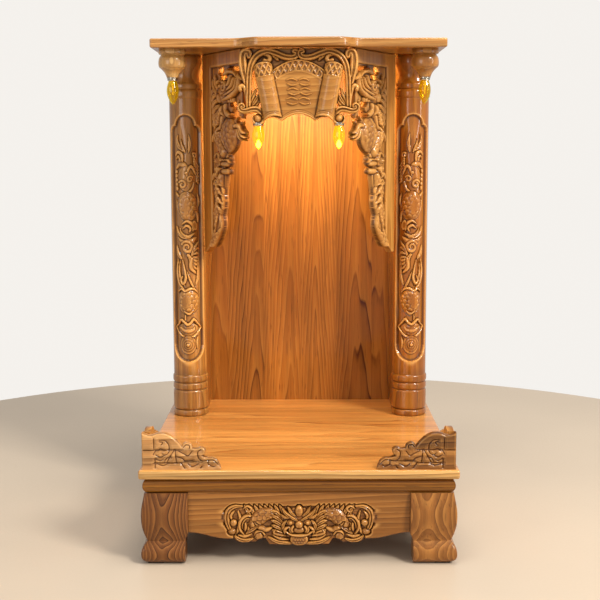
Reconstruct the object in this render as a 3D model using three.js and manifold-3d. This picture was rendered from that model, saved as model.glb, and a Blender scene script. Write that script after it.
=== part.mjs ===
// Household altar cabinet. A square deck stands on a moulded base and four carved legs. At its back
// two carved columns, side walls and a back panel carry a roof board over an open niche, with two
// pierced dragon brackets, a scroll-shaped crest, turned pendants and four candle-flame bulbs.
// Millimetres, +Z up. The front faces -Y, and the origin is on the floor under the deck's middle.
import * as THREE from "three";
import { mergeVertices } from "three/addons/utils/BufferGeometryUtils.js";
import Module from "manifold-3d";

const wasm = await Module();
wasm.setup();

// ---------------------------------------------------------------- driving dimensions
const SIDE = 480; // width and depth of the deck
const HALF = SIDE / 2;
const GAP = 0.3; // clearance between pieces that meet at an angle

const PAD_TOP = 2;
const LEG_TOP = 110;
const BASE_TOP = 133;
const DECK_TOP = 147;
const ROOF_UNDER = 784;
const ROOF_TOP = 798.5;

const BASE_HALF = 234.6;
const BASE_INNER = 180; // inner edge of the base strips
const LEG_INNER = 167.4;
const LEG_BACK = 205; // inner faces of the two boards of a leg
const LEG_NECK_Z = 35;
const PAD_INNER = 205.5;
const PAD_OUTER = 229;
const APRON_FACE = 228;
const APRON_THICKNESS = 18;

const COLUMN_X = 197.8;
const COLUMN_Y = 123;
const SHAFT_RADIUS = 29.8;
const RECESS = 3.2; // depth of the carved field in the shaft

const BACK_FRONT_Y = 230;
const NICHE_HALF = 170.7;
const WALL = 8;

const ROOF_HALF = 239;
const ROOF_FRONT_Y = -30;
const ROOF_BOW = 23; // how far the middle of the roof's front edge bows out

const RAIL_LENGTH = 118;
const RAIL_THICKNESS = 11;
const RAIL_OUTER = 234.5;

const WING_FRONT = new THREE.Vector2(95.5, -16); // plan corner beside the crest
const WING_BACK = new THREE.Vector2(166, 97); // plan point beside the column
const WING_LENGTH = 136;
const WING_THICKNESS = 12;

const CREST_FACE_Y = -28;
const CREST_BACK = -11.5; // back of the crest, behind its face

const PENDANT_X = 207.5;
const PENDANT_Y = 10;
const CREST_BULB_X = 65.5;
const CREST_BULB_Y = -24;

// ---------------------------------------------------------------- solids from points
const mix = THREE.MathUtils.lerp;
const smooth = THREE.MathUtils.smoothstep;
const steps = (from, to, count) => Array.from({ length: count + 1 }, (_, i) => mix(from, to, i / count));
const spot = (x, y) => new THREE.Vector2(x, y);
const UP = new THREE.Vector3(0, 0, 1);

// A closed solid from points and triangles, turned so that its faces point out.
function closed(points, triangles) {
  const kept = [];
  let volume = 0;
  for (let i = 0; i < triangles.length; i += 3) {
    const [a, b, c] = triangles.slice(i, i + 3);
    if (a !== b && b !== c && c !== a) {
      kept.push(a, b, c);
      volume += points[a].dot(points[b].clone().cross(points[c]));
    }
  }
  if (volume < 0) {
    kept.reverse();
  }
  return new wasm.Manifold(new wasm.Mesh({
    numProp: 3,
    vertProperties: new Float32Array(points.flatMap((p) => p.toArray())),
    triVerts: new Uint32Array(kept),
  }));
}

// A closed solid through a row of rings that all have the same number of points.
function loft(rings) {
  const n = rings[0].length;
  const triangles = [];
  for (let i = 0; i + 1 < rings.length; i += 1) {
    for (let j = 0; j < n; j += 1) {
      const a = i * n + j;
      const b = i * n + ((j + 1) % n);
      triangles.push(a, b, a + n, b, b + n, a + n);
    }
  }
  const last = (rings.length - 1) * n;
  for (let j = 1; j + 1 < n; j += 1) {
    triangles.push(0, j + 1, j);
    triangles.push(last, last + j, last + j + 1);
  }
  return closed(rings.flat(), triangles);
}

// A closed solid from one of three.js's own geometries, with shared corners merged.
function solidOf(geometry) {
  geometry.deleteAttribute("normal");
  geometry.deleteAttribute("uv");
  const merged = mergeVertices(geometry, 1e-4);
  const position = merged.getAttribute("position");
  const points = [];
  for (let i = 0; i < position.count; i += 1) {
    points.push(new THREE.Vector3().fromBufferAttribute(position, i));
  }
  return closed(points, Array.from(merged.index.array));
}

function geometryOf(solid) {
  const mesh = solid.getMesh();
  const geometry = new THREE.BufferGeometry();
  geometry.setAttribute("position", new THREE.BufferAttribute(new Float32Array(mesh.vertProperties), 3));
  geometry.setIndex(new THREE.BufferAttribute(new Uint32Array(mesh.triVerts), 1));
  return geometry;
}

const join = (solids) => solids.reduce((whole, next) => whole.add(next));
const cut = (solid, cutters) => cutters.reduce((whole, next) => whole.subtract(next), solid);

function box(x0, x1, y0, y1, z0, z1) {
  const geometry = new THREE.BoxGeometry(x1 - x0, y1 - y0, z1 - z0);
  geometry.translate((x0 + x1) / 2, (y0 + y1) / 2, (z0 + z1) / 2);
  return solidOf(geometry);
}

// A turned solid about a vertical line, from (radius, height) points between two points on the axis.
function turned(profile, segments, x, y) {
  const geometry = new THREE.LatheGeometry(profile, segments);
  geometry.rotateX(Math.PI / 2);
  geometry.translate(x, y, 0);
  return solidOf(geometry);
}

// ---------------------------------------------------------------- carving
// A carved surface is a function that takes a point (u, v) on it and a height above it to a place.
const frontFace = (y) => (u, v, h) => new THREE.Vector3(u, y - h, v);
const sideFace = (side, x) => (u, v, h) => new THREE.Vector3(side * (x + h), u, v);
const around = (x, y, radius) => (u, v, h) => new THREE.Vector3(
  x + (radius + h) * Math.sin(u / radius),
  y - (radius + h) * Math.cos(u / radius),
  v,
);

function wingFace(side) {
  const along = WING_BACK.clone().sub(WING_FRONT).normalize();
  return (u, v, h) => new THREE.Vector3(
    side * (WING_FRONT.x + along.x * u + along.y * h),
    WING_FRONT.y + along.y * u - along.x * h,
    v,
  );
}

// A board that follows its face, between the lines low(u) and high(u) and two heights.
function slab(place, steps, low, high, back, front) {
  return loft(steps.map((u) => [
    place(u, low(u), back),
    place(u, high(u), back),
    place(u, high(u), front),
    place(u, low(u), front),
  ]));
}

// The same board stepped up its height, from the line of spots on its inner edge out to end.
function uprightSlab(place, inner, end, back, front) {
  return loft(inner.map(({ x: u, y: v }) => [
    place(u, v, back),
    place(end, v, back),
    place(end, v, front),
    place(u, v, front),
  ]));
}

// A raised band along a curve, roof-shaped in section. width(t) is its half width along the curve.
function ridge(place, path, width, low, high, steps = 4) {
  const curve = new THREE.SplineCurve(path);
  const rings = [];
  for (let i = 0; i <= steps; i += 1) {
    const t = i / steps;
    const p = curve.getPoint(t);
    const tangent = curve.getTangent(t);
    const w = width(t);
    const at = (side, h) => place(p.x - tangent.y * side * w, p.y + tangent.x * side * w, h);
    rings.push([at(-1, low), at(0, high), at(1, low)]);
  }
  return loft(rings);
}

const even = (w) => () => w;
const tapering = (w) => (t) => w * (1 - 0.8 * t);
const leaf = (w) => (t) => w * (0.2 + 0.8 * Math.sin(Math.PI * (0.1 + 0.85 * t)));

// A knob: an ellipse that shrinks as it rises.
function knob(place, u, v, ru, rv, low, high, sides = 6) {
  const rings = [[1, low], [0.6, high]];
  return loft(rings.map(([scale, h]) => Array.from({ length: sides }, (_, j) => {
    const a = (j / sides) * 2 * Math.PI;
    return place(u + ru * scale * Math.cos(a), v + rv * scale * Math.sin(a), h);
  })));
}

// Points on a volute that winds from its outer radius to its eye.
function volute(u, v, outer, inner, start, turns, count = 7) {
  return Array.from({ length: count }, (_, i) => {
    const t = i / (count - 1);
    const a = start + turns * 2 * Math.PI * t;
    const r = outer + (inner - outer) * t;
    return spot(u + r * Math.cos(a), v + r * Math.sin(a));
  });
}

// ---------------------------------------------------------------- materials
const wood = (color) => new THREE.MeshStandardMaterial({ color, roughness: 0.28, metalness: 0 });
const DECK_WOOD = "#c9842f";
const FRAME_WOOD = "#b5793a";
const CARVED_WOOD = "#a8682c";
const PANEL_WOOD = "#c07a30";

const altar = new THREE.Group();

function add(name, solid, material) {
  const mesh = new THREE.Mesh(geometryOf(solid), material);
  mesh.name = name;
  altar.add(mesh);
}

const SIDES = [[-1, "left"], [1, "right"]];
const ENDS = [[-1, "front"], [1, "back"]];

// ---------------------------------------------------------------- legs and their pads
// The outer faces carry a belly above a V-shaped neck and a rounded foot.
const footCurve = new THREE.SplineCurve([spot(231, PAD_TOP), spot(238.6, 14), spot(230, LEG_NECK_Z)]);
const bellyCurve = new THREE.SplineCurve([spot(230, LEG_NECK_Z), spot(237.6, 77), spot(232.7, LEG_TOP)]);
const legOutline = [...footCurve.getPoints(4), ...bellyCurve.getPoints(5).slice(1)];

// The inner edge steps back below the belly.
const legInner = (z) => LEG_INNER + 4.6 * (1 - smooth(z, 36, 48));

// Each leg is two boards joined along the corner, so its plan is an L.
function leg(sx, sy) {
  const edge = 3;
  const t = LEG_BACK;
  return loft(legOutline.map(({ x: out, y: z }) => {
    const inn = legInner(z);
    const ring = [[t, t], [inn, t], [inn, out], [out - edge, out], [out, out - edge], [out, inn], [t, inn]];
    return ring.map(([x, y]) => new THREE.Vector3(sx * x, sy * y, z));
  }));
}

const padRubber = new THREE.MeshStandardMaterial({ color: "#2b2420", roughness: 0.8, metalness: 0 });
for (const [sy, end] of ENDS) {
  for (const [sx, side] of SIDES) {
    add(`leg_${end}_${side}`, leg(sx, sy), wood(FRAME_WOOD));
    const [x0, x1] = [sx * PAD_INNER, sx * PAD_OUTER].sort((a, b) => a - b);
    const [y0, y1] = [sy * PAD_INNER, sy * PAD_OUTER].sort((a, b) => a - b);
    add(`foot_pad_${end}_${side}`, box(x0, x1, y0, y1, 0, PAD_TOP), padRubber);
  }
}

// ---------------------------------------------------------------- aprons
// The front apron drops in lobes under its mask: a flat middle, a notch, a lobe and a long rise.
function maskedEdge(u) {
  const a = Math.abs(u);
  const middle = 27 + 9.8 * smooth(a, 44, 52) - 5.6 * smooth(a, 60, 66);
  return middle + 6 * smooth(a, 92, 100) + 9.8 * smooth(a, 110, 167);
}

// The other aprons have one low cusped wave.
const plainEdge = (u) => 46 - 8 * Math.cos((Math.PI * u) / LEG_INNER) - 3 * smooth(Math.abs(u), 0, 24);

const apronHalf = LEG_INNER - GAP;
const apronTop = () => LEG_TOP;

function maskCarving(place) {
  const raised = (path, width, high, count) => ridge(place, path, width, -1, high, count);
  const bump = (u, v, ru, rv, high) => knob(place, u, v, ru, rv, -1, high);
  const parts = [
    bump(0, 82, 5, 8, 6.5),
    bump(0, 62, 5.6, 5.5, 9.5),
    bump(0, 52.5, 10, 5.2, 7.5),
    bump(0, 36.5, 13, 9, 6),
    raised([spot(-21, 50), spot(-9, 44.5), spot(9, 44.5), spot(21, 50)], leaf(2.4), 8, 4),
  ];
  for (const s of [-1, 1]) {
    const at = (u, v) => spot(s * u, v);
    parts.push(bump(s * 12.8, 63, 3.8, 3.8, 8.5));
    parts.push(raised([at(4, 67), at(12, 70), at(23, 78)], leaf(2.6), 8.5, 2));
    parts.push(raised([at(9, 58), at(9.6, 49)], tapering(2.4), 9, 1));
    for (let i = 0; i < 3; i += 1) {
      const v = 69 - 11 * i;
      parts.push(raised([at(24, v), at(43, v - 1)], even(4), 5.5, 1));
    }
    for (let i = 0; i < 4; i += 1) {
      const u = 28 + 15 * i;
      parts.push(raised([at(u, 76), at(u + 8, 90)], tapering(3.4), 5, 1));
    }
    parts.push(bump(s * 57, 68, 14, 11, 5));
    parts.push(bump(s * 77, 57, 7.5, 7, 6));
    parts.push(raised(volute(s * 78, 57, 14, 9, s > 0 ? 0.2 : Math.PI - 0.2, s * 0.62), even(2.4), 5.5, 5));
    parts.push(raised([at(92, 87), at(106, 80), at(110, 64), at(104, 46)], leaf(3.6), 5, 3));
    parts.push(bump(s * 99, 62, 4.4, 4.4, 6));
    parts.push(raised([at(14, 33), at(29, 36), at(46, 40)], leaf(3.4), 4.5, 2));
    parts.push(bump(s * 64, 40, 6, 5.5, 5));
    parts.push(raised([at(72, 42), at(86, 38), at(98, 44)], leaf(3.6), 4.5, 2));
  }
  return parts;
}

const maskStops = [0, 44, 48, 52, 60, 66, 92, 96, 100, 110, 124, 138, 152, apronHalf];
const apronSteps = [...maskStops.slice(1).reverse().map((u) => -u), ...maskStops];
const frontBoard = slab(frontFace(-APRON_FACE), apronSteps, maskedEdge, apronTop, -APRON_THICKNESS, 0);
add("apron_front", join([frontBoard, ...maskCarving(frontFace(-APRON_FACE))]), wood(CARVED_WOOD));

const plainSteps = steps(-apronHalf, apronHalf, 10);
const backFace = (u, v, h) => new THREE.Vector3(-u, APRON_FACE + h, v);
add("apron_back", slab(backFace, plainSteps, plainEdge, apronTop, -APRON_THICKNESS, 0), wood(FRAME_WOOD));
for (const [sx, side] of SIDES) {
  const board = slab(sideFace(sx, APRON_FACE), plainSteps, plainEdge, apronTop, -APRON_THICKNESS, 0);
  add(`apron_${side}`, board, wood(FRAME_WOOD));
}

// ---------------------------------------------------------------- base moulding and deck
// A square board whose half width follows (half width, height) points.
function square(levels) {
  return loft(levels.map(({ x: w, y: z }) => [[-w, -w], [w, -w], [w, w], [-w, w]]
    .map(([x, y]) => new THREE.Vector3(x, y, z))));
}

// The base under the deck is four half-round strips, mitred at the corners.
const bullnose = new THREE.EllipseCurve(
  BASE_HALF - 9,
  (LEG_TOP + BASE_TOP) / 2,
  9,
  (BASE_TOP - LEG_TOP) / 2,
  -Math.PI / 2,
  Math.PI / 2,
);

function baseStrip(quarter) {
  const turn = (quarter * Math.PI) / 2;
  const section = [spot(BASE_INNER, LEG_TOP), ...bullnose.getPoints(7), spot(BASE_INNER, BASE_TOP)];
  return loft([-1, 1].map((end) => section.map(({ x: out, y: z }) => {
    const mitre = end * (out - GAP);
    return new THREE.Vector3(mitre, -out, z).applyAxisAngle(UP, turn);
  })));
}

["front", "right", "back", "left"].forEach((side, quarter) => {
  add(`base_strip_${side}`, baseStrip(quarter), wood(FRAME_WOOD));
});

const deckEdge = new THREE.QuadraticBezierCurve(
  spot(HALF, DECK_TOP - 6),
  spot(HALF, DECK_TOP - 0.8),
  spot(HALF - 4.5, DECK_TOP),
);
const deckLevels = [spot(HALF - 1, BASE_TOP), spot(HALF, BASE_TOP + 1), ...deckEdge.getPoints(3)];
add("deck_board", square(deckLevels), wood(DECK_WOOD));

// ---------------------------------------------------------------- corner rails
// The rail steps down from the corner: a dip, a crest, a slope with two curls, and a low ogee end.
function railOutline() {
  const shape = new THREE.Shape();
  shape.moveTo(0, 0);
  shape.lineTo(0, 56.5);
  shape.quadraticCurveTo(9, 51, 16, 52);
  shape.quadraticCurveTo(25, 57.5, 36, 55);
  shape.bezierCurveTo(47, 52, 50, 42, 60, 35);
  shape.quadraticCurveTo(63, 42, 68.5, 41);
  shape.quadraticCurveTo(75, 39, 75.5, 32.5);
  shape.lineTo(85, 32.5);
  shape.quadraticCurveTo(91, 36, 95, 30.5);
  shape.quadraticCurveTo(96, 25, 91, 21);
  shape.quadraticCurveTo(97, 17, 105, 18);
  shape.quadraticCurveTo(115, 16, RAIL_LENGTH, 0);
  shape.closePath();
  return shape;
}

const railShape = railOutline();

// side is the corner's side in X, and turn says whether the rail runs along the front or back along
// the deck's side.
function rail(side, turn) {
  const offset = turn === "front" ? 0 : RAIL_THICKNESS + GAP;
  const place = (u, v, h) => {
    const run = RAIL_OUTER - u - offset;
    const out = RAIL_OUTER + h;
    return turn === "front"
      ? new THREE.Vector3(side * run, -out, DECK_TOP + v)
      : new THREE.Vector3(side * out, -run, DECK_TOP + v);
  };
  const board = new THREE.ExtrudeGeometry(railShape, {
    depth: RAIL_THICKNESS,
    bevelEnabled: false,
    curveSegments: 2,
  });
  const position = board.getAttribute("position");
  for (let i = 0; i < position.count; i += 1) {
    const p = new THREE.Vector3().fromBufferAttribute(position, i);
    position.setXYZ(i, ...place(p.x, p.y, p.z - RAIL_THICKNESS).toArray());
  }
  const relief = [
    ridge(place, [spot(3, 6), spot(110, 6)], even(1.2), -1, 1, 1),
    ridge(place, volute(38, 32, 13, 4, 2.2, -0.9), tapering(3), -1, 1.6, 5),
    ridge(place, [spot(50, 14), spot(64, 24), spot(70, 36)], leaf(3.4), -1, 1.6, 2),
    ridge(place, [spot(72, 12), spot(86, 16), spot(91, 27)], leaf(3), -1, 1.6, 2),
  ];
  return join([solidOf(board), ...relief]);
}

for (const [sx, side] of SIDES) {
  add(`rail_front_${side}`, rail(sx, "front"), wood(CARVED_WOOD));
  add(`rail_side_${side}`, rail(sx, "side"), wood(CARVED_WOOD));
}

// ---------------------------------------------------------------- columns
// A bead is a turned ring: its start, its two shoulders, and the groove that ends it.
const bead = (z0, z1, r) => [spot(r, z0 + 2), spot(r, z1 - 2), spot(r - 2.6, z1)];

const columnProfile = [
  spot(0, DECK_TOP),
  spot(30, DECK_TOP),
  ...bead(DECK_TOP, 159, 31.6),
  ...bead(159, 194.6, 31.2),
  ...bead(195, 208.2, 31.2),
  ...bead(208.2, 222.4, 31.6),
  spot(SHAFT_RADIUS, 224.5),
  spot(SHAFT_RADIUS, 709.5),
  ...bead(709.5, 725.5, 31.4),
  ...bead(725.5, 737, 30.6),
  spot(25.5, 750),
  spot(31.4, 768),
  spot(31.4, 780),
  spot(29, ROOF_UNDER),
  spot(0, ROOF_UNDER),
];

// The carved field is a capsule: round below, and a round lobe between two shoulders above.
const FIELD_HALF = 32;
const FIELD_LOW = 247.3;
const FIELD_HIGH = 682;
const LOBE = 19;

const fieldLow = (u) => FIELD_LOW + FIELD_HALF - Math.sqrt(Math.max(FIELD_HALF ** 2 - u ** 2, 0));

function fieldHigh(u) {
  const a = Math.abs(u);
  const lobe = FIELD_HIGH - LOBE + Math.sqrt(Math.max(LOBE ** 2 - u ** 2, 0));
  const reach = (a - LOBE) / (FIELD_HALF - LOBE);
  return a < LOBE ? lobe : FIELD_HIGH - 18 - 14 * (1 - Math.sqrt(Math.max(1 - reach ** 2, 0)));
}

const fieldSteps = [0, 9, 15, 18.7, 19.3, 26, 30, 32].flatMap((u) => (u ? [-u, u] : [0]));
fieldSteps.sort((a, b) => a - b);

// Both columns carry a dragon above clouds, leaves, a lotus, a fungus scroll and a ripple.
function columnCarving(place, side) {
  const floor = -RECESS - 1;
  const raised = (path, width, count) => ridge(place, path, width, floor, 0.4, count);
  const bump = (u, v, ru, rv) => knob(place, u, v, ru, rv, floor, 0.3);
  const at = (u, v) => spot(side * u, v);
  const parts = [
    raised([at(14, 640), at(15, 548)], leaf(6), 1),
    bump(side * -3, 562, 11, 15),
    bump(side * -2, 522, 16, 20),
    raised([at(19, 488), at(-8, 472)], tapering(5), 1),
    bump(side * 0, 450, 13, 13),
    raised([at(20, 440), at(20, 404), at(7, 380)], leaf(4.5), 2),
    raised([at(0, 432), at(-11, 400), at(-18, 376)], leaf(6), 2),
    bump(side * 2, 352, 20, 19),
    raised([at(22, 310), at(10, 297), at(-10, 297), at(-22, 310)], leaf(6), 3),
    bump(side * 2, 273, 13, 13),
  ];
  for (let i = 0; i < 3; i += 1) {
    const v = 602 - 16 * i;
    parts.push(raised([at(-10, v), at(-24, v - 14)], tapering(4), 1));
  }
  return parts;
}

for (const [sx, side] of SIDES) {
  const place = around(sx * COLUMN_X, COLUMN_Y, SHAFT_RADIUS);
  const shaft = turned(columnProfile, 12, sx * COLUMN_X, COLUMN_Y);
  const field = slab(place, fieldSteps, fieldLow, fieldHigh, -RECESS, 4);
  add(`column_${side}`, join([cut(shaft, [field]), ...columnCarving(place, sx)]), wood(CARVED_WOOD));
}

// ---------------------------------------------------------------- walls, back panel and roof
const wallFront = COLUMN_Y + 26;
for (const [sx, side] of SIDES) {
  const [x0, x1] = [sx * NICHE_HALF, sx * (NICHE_HALF + WALL)].sort((a, b) => a - b);
  add(`side_wall_${side}`, box(x0, x1, wallFront, BACK_FRONT_Y, DECK_TOP, ROOF_UNDER), wood(FRAME_WOOD));
}
const backHalf = NICHE_HALF + WALL;
add("back_panel", box(-backHalf, backHalf, BACK_FRONT_Y, HALF, DECK_TOP, ROOF_UNDER), wood(PANEL_WOOD));

const roofFront = (u) => ROOF_FRONT_Y - ROOF_BOW * (1 - smooth(Math.abs(u), 62, 106));
const roofSteps = [0, 62, 70, 78, 84, 90, 98, 106, ROOF_HALF].flatMap((u) => (u ? [-u, u] : [0]));
roofSteps.sort((a, b) => a - b);
const roofPlane = (u, v, h) => new THREE.Vector3(u, v, h);
add("roof_board", slab(roofPlane, roofSteps, roofFront, () => HALF, ROOF_UNDER, ROOF_TOP), wood(DECK_WOOD));

// ---------------------------------------------------------------- pierced dragon brackets
const WING_TIP_Z = 443;
const STILE_INNER = 104;
const CLAW_TIP = 50;
const CLAW_ROOT = 61;
const CLAW_PITCH = 13;
const CLAW_LOW = 581;

// The free edge runs down beside the crest, steps in under the jaw, shows three square claws, and
// closes on the column along the tail.
const claws = [0, 1, 2].flatMap((i) => {
  const z = CLAW_LOW + CLAW_PITCH * i;
  return [spot(CLAW_TIP, z), spot(CLAW_TIP, z + 8.4), spot(CLAW_ROOT, z + 8.8), spot(CLAW_ROOT, z + 12.6)];
});
const wingOutline = [
  spot(128, WING_TIP_Z), spot(117, 452), spot(95, 470), spot(82, 490), spot(73, 515), spot(67, 535),
  spot(63, 555), spot(60, 580.6), ...claws, spot(36, 632), spot(20, 643), spot(8, 655), spot(0, 676),
  spot(0, ROOF_UNDER - GAP),
];

// An opening through the bracket, as a ring of points.
function opening(place, points) {
  return loft([-WING_THICKNESS - 3, 8].map((h) => points.map(([u, v]) => place(u, v, h))));
}

const wingHoles = [
  [[8, 744], [42, 741], [42, 757], [8, 757]],
  [[62, 757], [84, 755], [88, 735], [76, 728], [64, 738]],
  [[12, 678], [24, 668], [30, 684], [20, 694]],
  [[87, 561], [87, 553], [92, 536], [99, 508], [103, 508], [103, 562]],
  [[91, 506], [94, 500], [103, 491], [103, 506]],
  [[88.5, 491], [94, 482], [103, 476], [103, 482], [94, 491]],
];

function wingCarving(place) {
  const raised = (path, width, high, count) => ridge(place, path, width, -5, high, count);
  const bump = (u, v, ru, rv, high) => knob(place, u, v, ru, rv, -5, high);
  const parts = [
    raised([spot(30, 716), spot(62, 700), spot(68, 664), spot(50, 638)], leaf(14), 3, 4),
    raised([spot(62, 650), spot(78, 606), spot(76, 550), spot(106, 464)], tapering(17), 3, 6),
    bump(36, 716, 19, 14, 4.5),
    raised([spot(16, 662), spot(28, 646), spot(40, 638)], leaf(5), 2, 2),
    bump(92, 606, 11, 10, 2.5),
    bump(92, 584, 11, 9, 2.5),
  ];
  for (let i = 0; i < 3; i += 1) {
    const v = 716 - 26 * i;
    parts.push(raised([spot(70, v - 8), spot(100, v + 6)], tapering(6), 1.5, 1));
  }
  return parts;
}

for (const [sx, side] of SIDES) {
  const place = wingFace(sx);
  const upright = (u, low) => [spot(u, low), spot(u, ROOF_UNDER - GAP)];
  const board = uprightSlab(place, wingOutline, WING_LENGTH, -WING_THICKNESS, -3);
  const stile = uprightSlab(place, upright(STILE_INNER, 460), WING_LENGTH, -5, 0);
  const strip = uprightSlab(place, upright(0, 759), WING_LENGTH, -5, 0);
  const holes = wingHoles.map((points) => opening(place, points));
  add(`wing_${side}`, join([cut(board, holes), stile, strip, ...wingCarving(place)]), wood(CARVED_WOOD));
}

// ---------------------------------------------------------------- scroll crest
const ARC_OUTER = 764.7;
const ARC_INNER = 745.9;
const PANEL_CUSP = 667.5;
const PANEL_ARCH = 678.3;

const arc = (top, drop, half) => (u) => top - drop * (u / half) ** 2;
const outerArc = arc(ARC_OUTER, 18.2, 43.5);
const innerArc = arc(ARC_INNER, 14.4, 37.5);
const lowerArch = (u) => Math.max(PANEL_CUSP, PANEL_ARCH - 10.8 * (u / 27) ** 2);

// A rolled end of the scroll: a round bar that leans out at its top.
function roll(place, s) {
  const sides = 8;
  const ends = [[44, 671, 16], [57, 755, 14.2]];
  return loft(ends.map(([u, v, r]) => Array.from({ length: sides }, (_, j) => {
    const a = (j / sides) * 2 * Math.PI;
    return place(s * (u + r * Math.cos(a)), v + 2 * Math.sin(a), r * Math.sin(a) - 5);
  })));
}

function crestFrame(place, s) {
  const band = (path, width, high, count) => {
    const points = path.map(([u, v]) => spot(s * u, v));
    return ridge(place, points, width, CREST_BACK, high, count);
  };
  return [
    band([[-3, 771], [14, 766], [30, 775], [47, 779], [62, 778], [76, 764]], even(4), 3, 6),
    band([[73, 769], [80, 748], [80, 714], [72, 688]], even(4.4), 4, 3),
    band([[50, 758], [54, 769], [66, 772], [76, 762]], even(3), 3, 3),
    band([[84, 781], [91, 766], [84, 728], [78, 700]], leaf(5), 3, 3),
    band([[93, 719], [86, 727], [77, 706]], even(3), 4, 3),
    band([[93, 694], [86, 686], [68, 684], [60, 675], [64, 667]], even(4), 4, 4),
    band([[76, 690], [67, 705], [62, 722]], leaf(5), 2, 2),
    knob(place, s * 64, 673, 8, 8, CREST_BACK, 3),
  ];
}

// Rows of short strokes on the panel.
function strokes(place) {
  return [720, 698].flatMap((v) => [-1, 1].map((i) => ridge(
    place,
    [spot(i * 9 - 6, v - 2), spot(i * 9 + 6, v + 2)],
    even(1.8),
    -1,
    1.4,
    1,
  )));
}

const crestPlace = frontFace(CREST_FACE_Y);
const archSteps = [-43, -27, -18, -9, 0, 9, 18, 27, 43];
const crest = [
  slab(crestPlace, archSteps, lowerArch, outerArc, -9, -2),
  slab(crestPlace, [-37.5, -27, -14, 0, 14, 27, 37.5], lowerArch, innerArc, -4, 0),
  ridge(crestPlace, steps(-43, 43, 6).map((u) => spot(u, outerArc(u) - 1)), even(2), -6, 2, 5),
  ridge(crestPlace, steps(-27, 27, 6).map((u) => spot(u, lowerArch(u) + 2)), even(2), -6, 2, 4),
  knob(crestPlace, 0, 771, 8, 9, CREST_BACK, 2),
  ...strokes(crestPlace),
  ...[-1, 1].flatMap((s) => [roll(crestPlace, s), ...crestFrame(crestPlace, s)]),
];
add("scroll_crest", join(crest), wood(CARVED_WOOD));

// ---------------------------------------------------------------- pendants, sockets and bulbs
const silver = new THREE.MeshStandardMaterial({ color: "#b9b4a8", roughness: 0.3, metalness: 1 });
const clearYellow = new THREE.MeshStandardMaterial({
  color: "#f3b50a",
  roughness: 0.05,
  metalness: 0,
  transparent: true,
  opacity: 0.6,
});
const PENDANT_FOOT = 739.2;

const pendantProfile = [
  spot(0, PENDANT_FOOT), spot(9.4, PENDANT_FOOT), spot(11.5, 744), spot(20, 754.6), spot(22.6, 757),
  spot(22.6, 768), spot(18.6, 775), spot(22.4, 777), spot(22.4, ROOF_UNDER), spot(0, ROOF_UNDER),
];

// A socket is a short collar under a top height, and a bulb is a pointed flame below it.
const socketProfile = (top) => [
  spot(0, top - 5), spot(8, top - 5), spot(9.2, top - 3), spot(9.2, top), spot(0, top),
];
const BULB_LENGTH = 38.5;
const bulbProfile = (top) => [
  spot(0, top - BULB_LENGTH), spot(6.8, top - 29.5), spot(9.9, top - 17), spot(8.6, top - 7), spot(6.4, top),
  spot(0, top),
];

function lamp(name, x, y, top) {
  add(`socket_${name}`, turned(socketProfile(top), 10, x, y), silver);
  add(`bulb_${name}`, turned(bulbProfile(top - 5 - GAP), 8, x, y), clearYellow);
}

for (const [sx, side] of SIDES) {
  add(`pendant_${side}`, turned(pendantProfile, 12, sx * PENDANT_X, PENDANT_Y), wood(FRAME_WOOD));
  lamp(`roof_${side}`, sx * PENDANT_X, PENDANT_Y, PENDANT_FOOT - GAP);
  lamp(`crest_${side}`, sx * CREST_BULB_X, CREST_BULB_Y, 664.6);
}

export default altar;
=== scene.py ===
# %% [markdown]
# # A carved wooden floor altar
# This lesson dresses a small household altar: a square deck on four bracket feet, two turned
# columns with dragons carved in them, a glowing niche under a thin roof, and two carved brackets
# that hold a scroll-shaped crest. The solids of the altar are loaded first as a fixed frame. Each
# later step either gives one of those solids a finish, or makes a finer surface that stands for it.

# %% Load the frame
import math
import bpy
import numpy as np
from mathutils import Matrix, Vector


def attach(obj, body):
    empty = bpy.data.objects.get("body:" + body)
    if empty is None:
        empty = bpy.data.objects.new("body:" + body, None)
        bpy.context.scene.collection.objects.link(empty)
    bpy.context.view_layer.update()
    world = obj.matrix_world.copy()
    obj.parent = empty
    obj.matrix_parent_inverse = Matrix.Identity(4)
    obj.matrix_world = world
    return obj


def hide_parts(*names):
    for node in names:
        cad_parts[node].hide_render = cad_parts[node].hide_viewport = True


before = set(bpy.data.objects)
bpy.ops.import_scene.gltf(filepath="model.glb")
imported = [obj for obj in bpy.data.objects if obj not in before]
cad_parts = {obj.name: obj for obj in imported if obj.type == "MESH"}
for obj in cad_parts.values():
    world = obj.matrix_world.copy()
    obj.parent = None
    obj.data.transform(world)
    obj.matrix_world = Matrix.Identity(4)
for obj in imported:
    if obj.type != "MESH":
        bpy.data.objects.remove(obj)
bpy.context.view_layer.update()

# %% [markdown]
# ## Sizes
# The altar is drawn in millimetres, with X to the right, Y to the back and Z up, from the middle of
# its footprint on the floor. These are the heights and half widths that several pieces share.

# %% Shared sizes
MM = 0.001
GAP = 0.3
HALF = 240.0
LEG_TOP, BASE_TOP, DECK_TOP = 110.0, 133.0, 147.0
ROOF_UNDER, ROOF_TOP = 784.0, 798.5
COLUMN_X, COLUMN_Y, SHAFT = 197.8, 123.0, 29.8
APRON_FACE, APRON_THICKNESS, LEG_INNER = 228.0, 18.0, 167.4
SIDES = ((-1, "left"), (1, "right"))
QUARTERS = ((1, 0), (0, 1), (-1, 0), (0, -1))  # cosine and sine of each quarter turn
print("deck", 2 * HALF, "mm square, roof at", ROOF_TOP, "mm")

# %% [markdown]
# ## The view and the light
# The camera stands back at about chest height and looks slightly down. A large soft lamp on the
# right front makes the highlights on the lacquer, a weaker one fills from the left, and a strip far
# to the right draws the thin white line on the crest's rolled edge. Everything is lit softly, so
# that the carving is read by its own hollows.

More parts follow.
